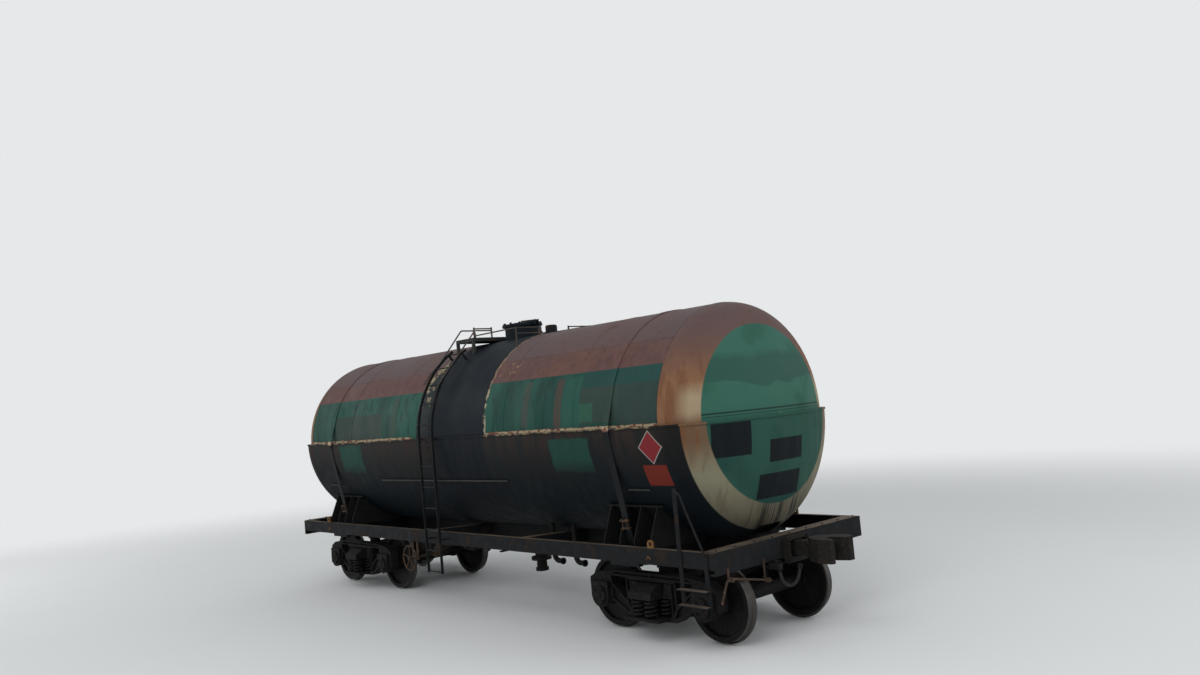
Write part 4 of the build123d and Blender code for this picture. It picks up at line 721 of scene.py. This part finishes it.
def softened(points, radius, steps=5):  # the same line of points with its corners rounded
    points = [Vector(point) for point in points]
    line = [points[0]]
    for before, corner, after in zip(points, points[1:], points[2:]):
        near = min(radius, 0.45 * (before - corner).length, 0.45 * (after - corner).length)
        start = corner + (before - corner).normalized() * near
        end = corner + (after - corner).normalized() * near
        for step in range(steps + 1):
            t = step / steps
            line.append(start * (1 - t) ** 2 + 2 * corner * t * (1 - t) + end * t**2)
    line.append(points[-1])
    return line


def smoothSides(shape):  # round bars shade smooth along their sides, their end caps stay flat
    for face in shape.faces:
        face.smooth = len(face.verts) == 4


hoseSettings = {
    "diameter": 0.040,
    "length": 0.58,
    "start": (5.510, -0.4592, 0.8719),
    "turn": 25.0,  # degrees at each point of the route
    "first": -80.0,  # heading of the first run, in the plane across the car
    "run": 0.084,
    "runs": 7,
}


def brakeHoses():
    h = hoseSettings
    route = [Vector(h["start"])]
    for number in range(h["runs"]):
        heading = math.radians(h["first"] + number * h["turn"])
        route.append(route[-1] + h["run"] * Vector((0, math.cos(heading), math.sin(heading))))
    for end, side in (("a", 1), ("b", -1)):
        curve = bpy.data.curves.new("brakeHose_" + end, "CURVE")
        curve.dimensions = "3D"
        curve.bevel_depth = h["diameter"] / 2
        curve.bevel_resolution = 5
        curve.use_fill_caps = True
        spline = curve.splines.new("NURBS")
        spline.points.add(len(route) - 1)
        for point, spot in zip(spline.points, route):
            point.co = (side * spot.x, side * spot.y, spot.z, 1)
        spline.order_u = 3
        spline.use_endpoint_u = True
        spline.resolution_u = 12
        hose = bpy.data.objects.new("brakeHose_" + end, curve)
        bpy.context.collection.objects.link(hose)
        curve.materials.append(finishes["hose_rubber"])
        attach(hose, "car")
        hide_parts("brake_hose_" + end)


coilSettings = {
    "low": 0.3163,
    "high": 0.5477,
    "rows": ((-0.174, 2), (0.0, 3), (0.174, 2)),  # Y from the side frame, springs in the row
    "pitch": 0.202,
    "span": 1.018,
    "coils": (  # radius, wire, turns, steps in a turn, sides
        (0.0800, 0.0165, 4.5, 18, 8),
        (0.0430, 0.0095, 7.0, 14, 6),
    ),
    "closed": 1.8,  # rise of the first and last turn, in wires
}


def oneSpring():  # an outer and an inner coil round Z, each a disc spun up in three runs
    c = coilSettings
    height = c["high"] - c["low"]
    shape = bmesh.new()
    for radius, wire, turns, steps, sides in c["coils"]:
        ends = c["closed"] * wire
        middle = height - 2 * wire - 2 * ends
        start = Matrix.Translation((radius, 0, wire)) @ Matrix.Rotation(math.radians(90), 4, "X")
        tip = addDisc(shape, wire, sides, start)
        for run, rise in ((1, ends), (turns - 2, middle), (1, ends)):
            count = round(run * steps)
            grown = bmesh.ops.spin(
                shape,
                geom=[tip],
                cent=(0, 0, 0),
                axis=(0, 0, 1),
                dvec=(0, 0, rise / count),
                angle=2 * math.pi * run,
                steps=count,
                use_merge=False,
            )
            tip = lastFace(grown["geom_last"])
    bmesh.ops.recalc_face_normals(shape, faces=shape.faces)
    smoothSides(shape)
    mesh = bpy.data.meshes.new("oneSpring")
    shape.to_mesh(mesh)
    shape.free()
    return mesh


def coilSprings():
    c = coilSettings
    spring = oneSpring()
    for letter, middle in bogies.items():
        shape = bmesh.new()
        for side in (-1, 1):
            for row, count in c["rows"]:
                for number in range(count):
                    x = middle + (number - (count - 1) / 2) * c["pitch"]
                    known = len(shape.verts)
                    shape.from_mesh(spring)
                    shape.verts.ensure_lookup_table()
                    move = (x, side * c["span"] + row, c["low"])
                    bmesh.ops.translate(shape, verts=shape.verts[known:], vec=move)
        springs = addPiece("coilSprings_" + letter, shape, "bogie_steel", "bogie_" + letter)
        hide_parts("bogie_" + letter + "_springs")
    bpy.data.meshes.remove(spring)


coverSettings = {
    "face": 1.175,
    "bolts": 4,
    "boltRing": 0.096,
    "boltAcross": 0.030,
    "boltHeight": 0.017,
    "boss": 0.046,
    "bossHeight": 0.012,
}


def axleBoxCovers():  # bolts and the raised boss on the cover of each axle box
    c = coverSettings
    bolts = (c["boltRing"], c["bolts"], c["boltAcross"], c["boltHeight"])
    for letter, middle in bogies.items():
        shape = bmesh.new()
        for axle in (-axleReach, axleReach):
            for side in (-1, 1):
                centre = (middle + axle, side * c["face"], axleHeight)
                addCylinder(shape, centre, (0, side, 0), c["boss"], c["bossHeight"], 28, 0.9 * c["boss"])
                boltCircle(shape, centre, (0, side, 0), *bolts)
        addPiece("axleBoxCovers_" + letter, shape, "bogie_steel", "bogie_" + letter)


lidSettings = {
    "centre": (0.255, 0, 4.4693),
    "ring": 0.305,
    "bolts": 12,
    "across": 0.036,
    "height": 0.026,
}


def lidBolts():
    c = lidSettings
    shape = bmesh.new()
    boltCircle(shape, c["centre"], (0, 0, 1), c["ring"], c["bolts"], c["across"], c["height"])
    addPiece("lidBolts", shape, "trim_paint", "manhole_lid")


seamSettings = {
    "rings": (-4.700, -3.12, -1.55, 1.56, 3.13, 4.700),  # X of the welds round the crown
    "arc": (1.5, 177.0, 72),  # degrees over the waist where one starts, how far it goes, steps
    "lap": 45.0,  # degrees over the waist
    "laps": ((-4.700, -0.62), (1.18, 4.700)),  # X of the lapped seams' ends
    "lapSteps": 8,
    "bead": 0.007,
    "proud": 0.0044,
    "sides": 8,
}


def tankSeams():  # weld beads round the crown, and the lapped seams along it
    s = seamSettings
    shape = bmesh.new()
    reach = tankRadius - s["bead"] + s["proud"]
    first, sweep, steps = s["arc"]
    for x in s["rings"]:
        turn = Matrix.Translation((x, 0, waist)) @ Matrix.Rotation(math.radians(first), 4, "X")
        start = turn @ Matrix.Translation((0, reach, 0))
        bmesh.ops.spin(
            shape,
            geom=[addDisc(shape, s["bead"], s["sides"], start)],
            cent=(x, 0, waist),
            axis=(1, 0, 0),
            angle=math.radians(sweep),
            steps=steps,
            use_merge=False,
        )
    angle = math.radians(s["lap"])
    for side in (-1, 1):
        y, z = side * reach * math.cos(angle), waist + reach * math.sin(angle)
        for start, end in s["laps"]:
            stride = (end - start) / s["lapSteps"]
            line = [(start + step * stride, y, z) for step in range(s["lapSteps"] + 1)]
            addTube(shape, line, s["bead"], s["sides"])
    bmesh.ops.recalc_face_normals(shape, faces=shape.faces)
    smoothSides(shape)
    addPiece("tankSeams", shape, "tank_paint", "car")


pipeSettings = {
    "radius": 0.014,
    "bend": 0.07,
    "nut": (0.042, 0.030),  # across the flats, height
    "routes": (
        ((-1.06, 0.47, 0.945), (-1.06, 0.47, 0.88), (-1.06, 0.0, 0.86), (-1.06, -0.30, 0.86)),
        (
            (-1.33, -0.34, 0.80),
            (-1.62, -0.34, 0.80),
            (-1.62, -0.52, 0.80),
            (-2.00, -0.52, 0.80),
            (-2.085, -0.50, 0.80),
        ),
        (
            (-1.30, -0.36, 0.87),
            (-1.52, -0.36, 0.87),
            (-1.52, 0.30, 0.87),
            (-1.66, 0.40, 0.80),
            (-1.81, 0.40, 0.76),
        ),
    ),
}


def airPipes():  # branch pipes between the train pipe, distributor, cylinder and reservoir
    p = pipeSettings
    shape = bmesh.new()
    for route in p["routes"]:
        line = softened(route, p["bend"])
        addTube(shape, line, p["radius"])
        for spot, toward in ((line[0], line[1]), (line[-1], line[-2])):
            addHex(shape, spot, toward - spot, *p["nut"])
    smoothSides(shape)
    addPiece("airPipes", shape, "brake_steel", "car")


cockSettings = {
    "spot": (5.470, 0.470, 0.967),
    "union": (0.020, 0.026),  # radius, height
    "nut": (0.034, 0.016),
    "handle": ((0, 0, 0.014), (-0.03, 0.05, 0.018), (-0.03, 0.150, -0.004)),  # from the spot
    "bend": 0.02,
    "rod": 0.008,
}


def cockHandles():  # the handle on each end cock, and the ring of its union
    c = cockSettings
    shape = bmesh.new()
    for side in (-1, 1):
        spot = Vector((side * c["spot"][0], -side * c["spot"][1], c["spot"][2]))
        addCylinder(shape, spot - Vector((0, 0, 0.002)), (0, 0, 1), *c["union"], 20)
        addHex(shape, spot + Vector((0, 0, c["union"][1] - 0.002)), (0, 0, 1), *c["nut"])
        handle = [spot + Vector((side * x, side * y, z)) for x, y, z in c["handle"]]
        addTube(shape, softened(handle, c["bend"]), c["rod"], 8)
    addPiece("cockHandles", shape, "brake_steel", "car")


strikerSettings = {
    "face": 5.472,
    "y": 0.187,
    "heights": (0.948, 1.020, 1.156, 1.204),
    "across": 0.036,
    "height": 0.020,
}


def strikerBolts():
    s = strikerSettings
    shape = bmesh.new()
    for end in (-1, 1):
        for side in (-1, 1):
            for z in s["heights"]:
                spot = (end * s["face"], side * s["y"], z)
                addHex(shape, spot, (end, 0, 0), s["across"], s["height"])
    addPiece("strikerBolts", shape, "coupler_steel", "car")


flangeSettings = {
    "faces": ((-2.639, -1), (-2.155, 1)),  # X of each bolted face, and which way it looks
    "y": -0.400,
    "z": 0.760,
    "ring": 0.189,
    "bolts": 10,
    "across": 0.022,
    "height": 0.014,
}


def cylinderBolts():
    s = flangeSettings
    shape = bmesh.new()
    for x, way in s["faces"]:
        centre = (x, s["y"], s["z"])
        boltCircle(shape, centre, (way, 0, 0), s["ring"], s["bolts"], s["across"], s["height"], 0)
    addPiece("cylinderBolts", shape, "brake_steel", "car")


tightenerSettings = {
    "x": 3.850,
    "leaves": (1.5278, -0.3156),  # where the straight run of a tie band starts, from the tank's axis
    "foot": (1.285, -1.490),
    "bars": (1.470, 1.565),  # heights of the two bars
    "bar": (0.150, 0.014, 0.050),  # long, thick, proud of the band
    "bandFace": 0.0100,  # from the band's middle to its face
    "rods": 0.045,  # from the band's middle
    "rod": (0.009, 12),
    "rodOut": 0.004,
    "rodPast": 0.025,  # how far a rod stands past the bars
    "nut": (0.030, 0.016),
}


def bandTighteners():  # bars and screws that pull each tie band tight, just above its foot
    t = tightenerSettings
    length, thick, proud = t["bar"]
    shape = bmesh.new()
    (startY, startUp), (endY, endUp) = t["leaves"], t["foot"]
    for end in (-1, 1):
        for side in (-1, 1):
            run = Vector((0, side * (endY - startY), endUp - startUp)).normalized()
            out = Vector((0, side * abs(run.z), -abs(run.y)))
            turn = Matrix((Vector((1, 0, 0)), out, run)).transposed().to_4x4()
            places = []
            for height in t["bars"]:
                part = (height - waist - startUp) / (endUp - startUp)
                spot = Vector((end * t["x"], side * (startY + part * (endY - startY)), height))
                spot += out * (t["bandFace"] + proud / 2)
                addBar(shape, spot, turn, (length, proud, thick))
                places.append(spot)
            reach = (places[1] - places[0]).length + 2 * t["rodPast"]
            for shift in (-t["rods"], t["rods"]):
                move = Vector((shift, 0, 0)) + out * t["rodOut"]
                start = places[0] + run * t["rodPast"] + move
                addCylinder(shape, start, -run, t["rod"][0], reach, t["rod"][1])
                for spot, way in ((places[0], run), (places[1], -run)):
                    addHex(shape, spot + way * thick / 2 + move, way, *t["nut"])
    addPiece("bandTighteners", shape, "rusty_iron", "car")


plateSettings = {
    "x": (5.200, 5.398),
    "y": 1.440,
    "low": 1.2503,
    "thick": 0.006,
    "bolts": 9,
    "boltX": 5.350,
    "boltInset": 0.06,  # from the plate's ends
    "bolt": (0.024, 0.012),
    "edge": 0.0015,
}


def endPlates():  # bare walkway plate on each end beam, held by a row of bolts
    p = plateSettings
    shape = bmesh.new()
    top = p["low"] + p["thick"]
    for end in (-1, 1):
        low, high = sorted((end * p["x"][0], end * p["x"][1]))
        addBlock(shape, (low, -p["y"], p["low"]), (high, p["y"], top))
        for number in range(p["bolts"]):
            y = (number / (p["bolts"] - 1) - 0.5) * 2 * (p["y"] - p["boltInset"])
            addHex(shape, (end * p["boltX"], y, top), (0, 0, 1), *p["bolt"])
    longest = 0.15  # only the plate has edges over this
    bmesh.ops.bevel(
        shape,
        geom=[edge for edge in shape.edges if edge.calc_length() > longest],
        offset=p["edge"],
        offset_type="OFFSET",
        affect="EDGES",
        segments=1,
        profile=0.5,
        material=-1,
    )
    addPiece("endPlates", shape, "frame_paint", "car")


markSettings = {
    "face": 1.475,
    "thick": 0.0012,
    "caret": (4.318, 1.137),  # X and height of the lifting mark
    "stroke": (0.052, 0.015),
    "slant": 45,  # degrees
}


def liftingMarks():  # yellow paint where the car is jacked
    m = markSettings
    long, wide = m["stroke"]
    x, height = m["caret"]
    shape = bmesh.new()
    for end in (-1, 1):
        for side in (-1, 1):
            y = side * (m["face"] + m["thick"] / 2)
            for slant in (-1, 1):
                spot = (end * x + slant * 0.35 * long, y, height)
                turn = Matrix.Rotation(math.radians(m["slant"] * slant), 4, "Y")
                addBar(shape, spot, turn, (long, m["thick"], wide))
    addPiece("liftingMarks", shape, "yellow_paint", "car")


treadSettings = {
    "x": (-0.600, -0.140),
    "y": 0.700,
    "top": 4.303,
    "sunk": 0.001,  # into the deck
    "pitch": 0.050,
    "wide": 0.007,
    "proud": 0.005,
}


def deckTreads():  # raised bars across the platform, so that boots don't slip
    d = treadSettings
    shape = bmesh.new()
    left, right = d["x"]
    for number in range(int(2 * d["y"] / d["pitch"]) + 1):
        y = -d["y"] + number * d["pitch"]
        low = (left, y - d["wide"] / 2, d["top"] - d["sunk"])
        addBlock(shape, low, (right, y + d["wide"] / 2, d["top"] + d["proud"]))
    addPiece("deckTreads", shape, "deck_paint", "car")


brakeHoses()
print("hoses done")
coilSprings()
axleBoxCovers()
bandTighteners()
endPlates()
liftingMarks()
deckTreads()
lidBolts()
tankSeams()
airPipes()
cockHandles()
strikerBolts()
cylinderBolts()
print("fittings done")
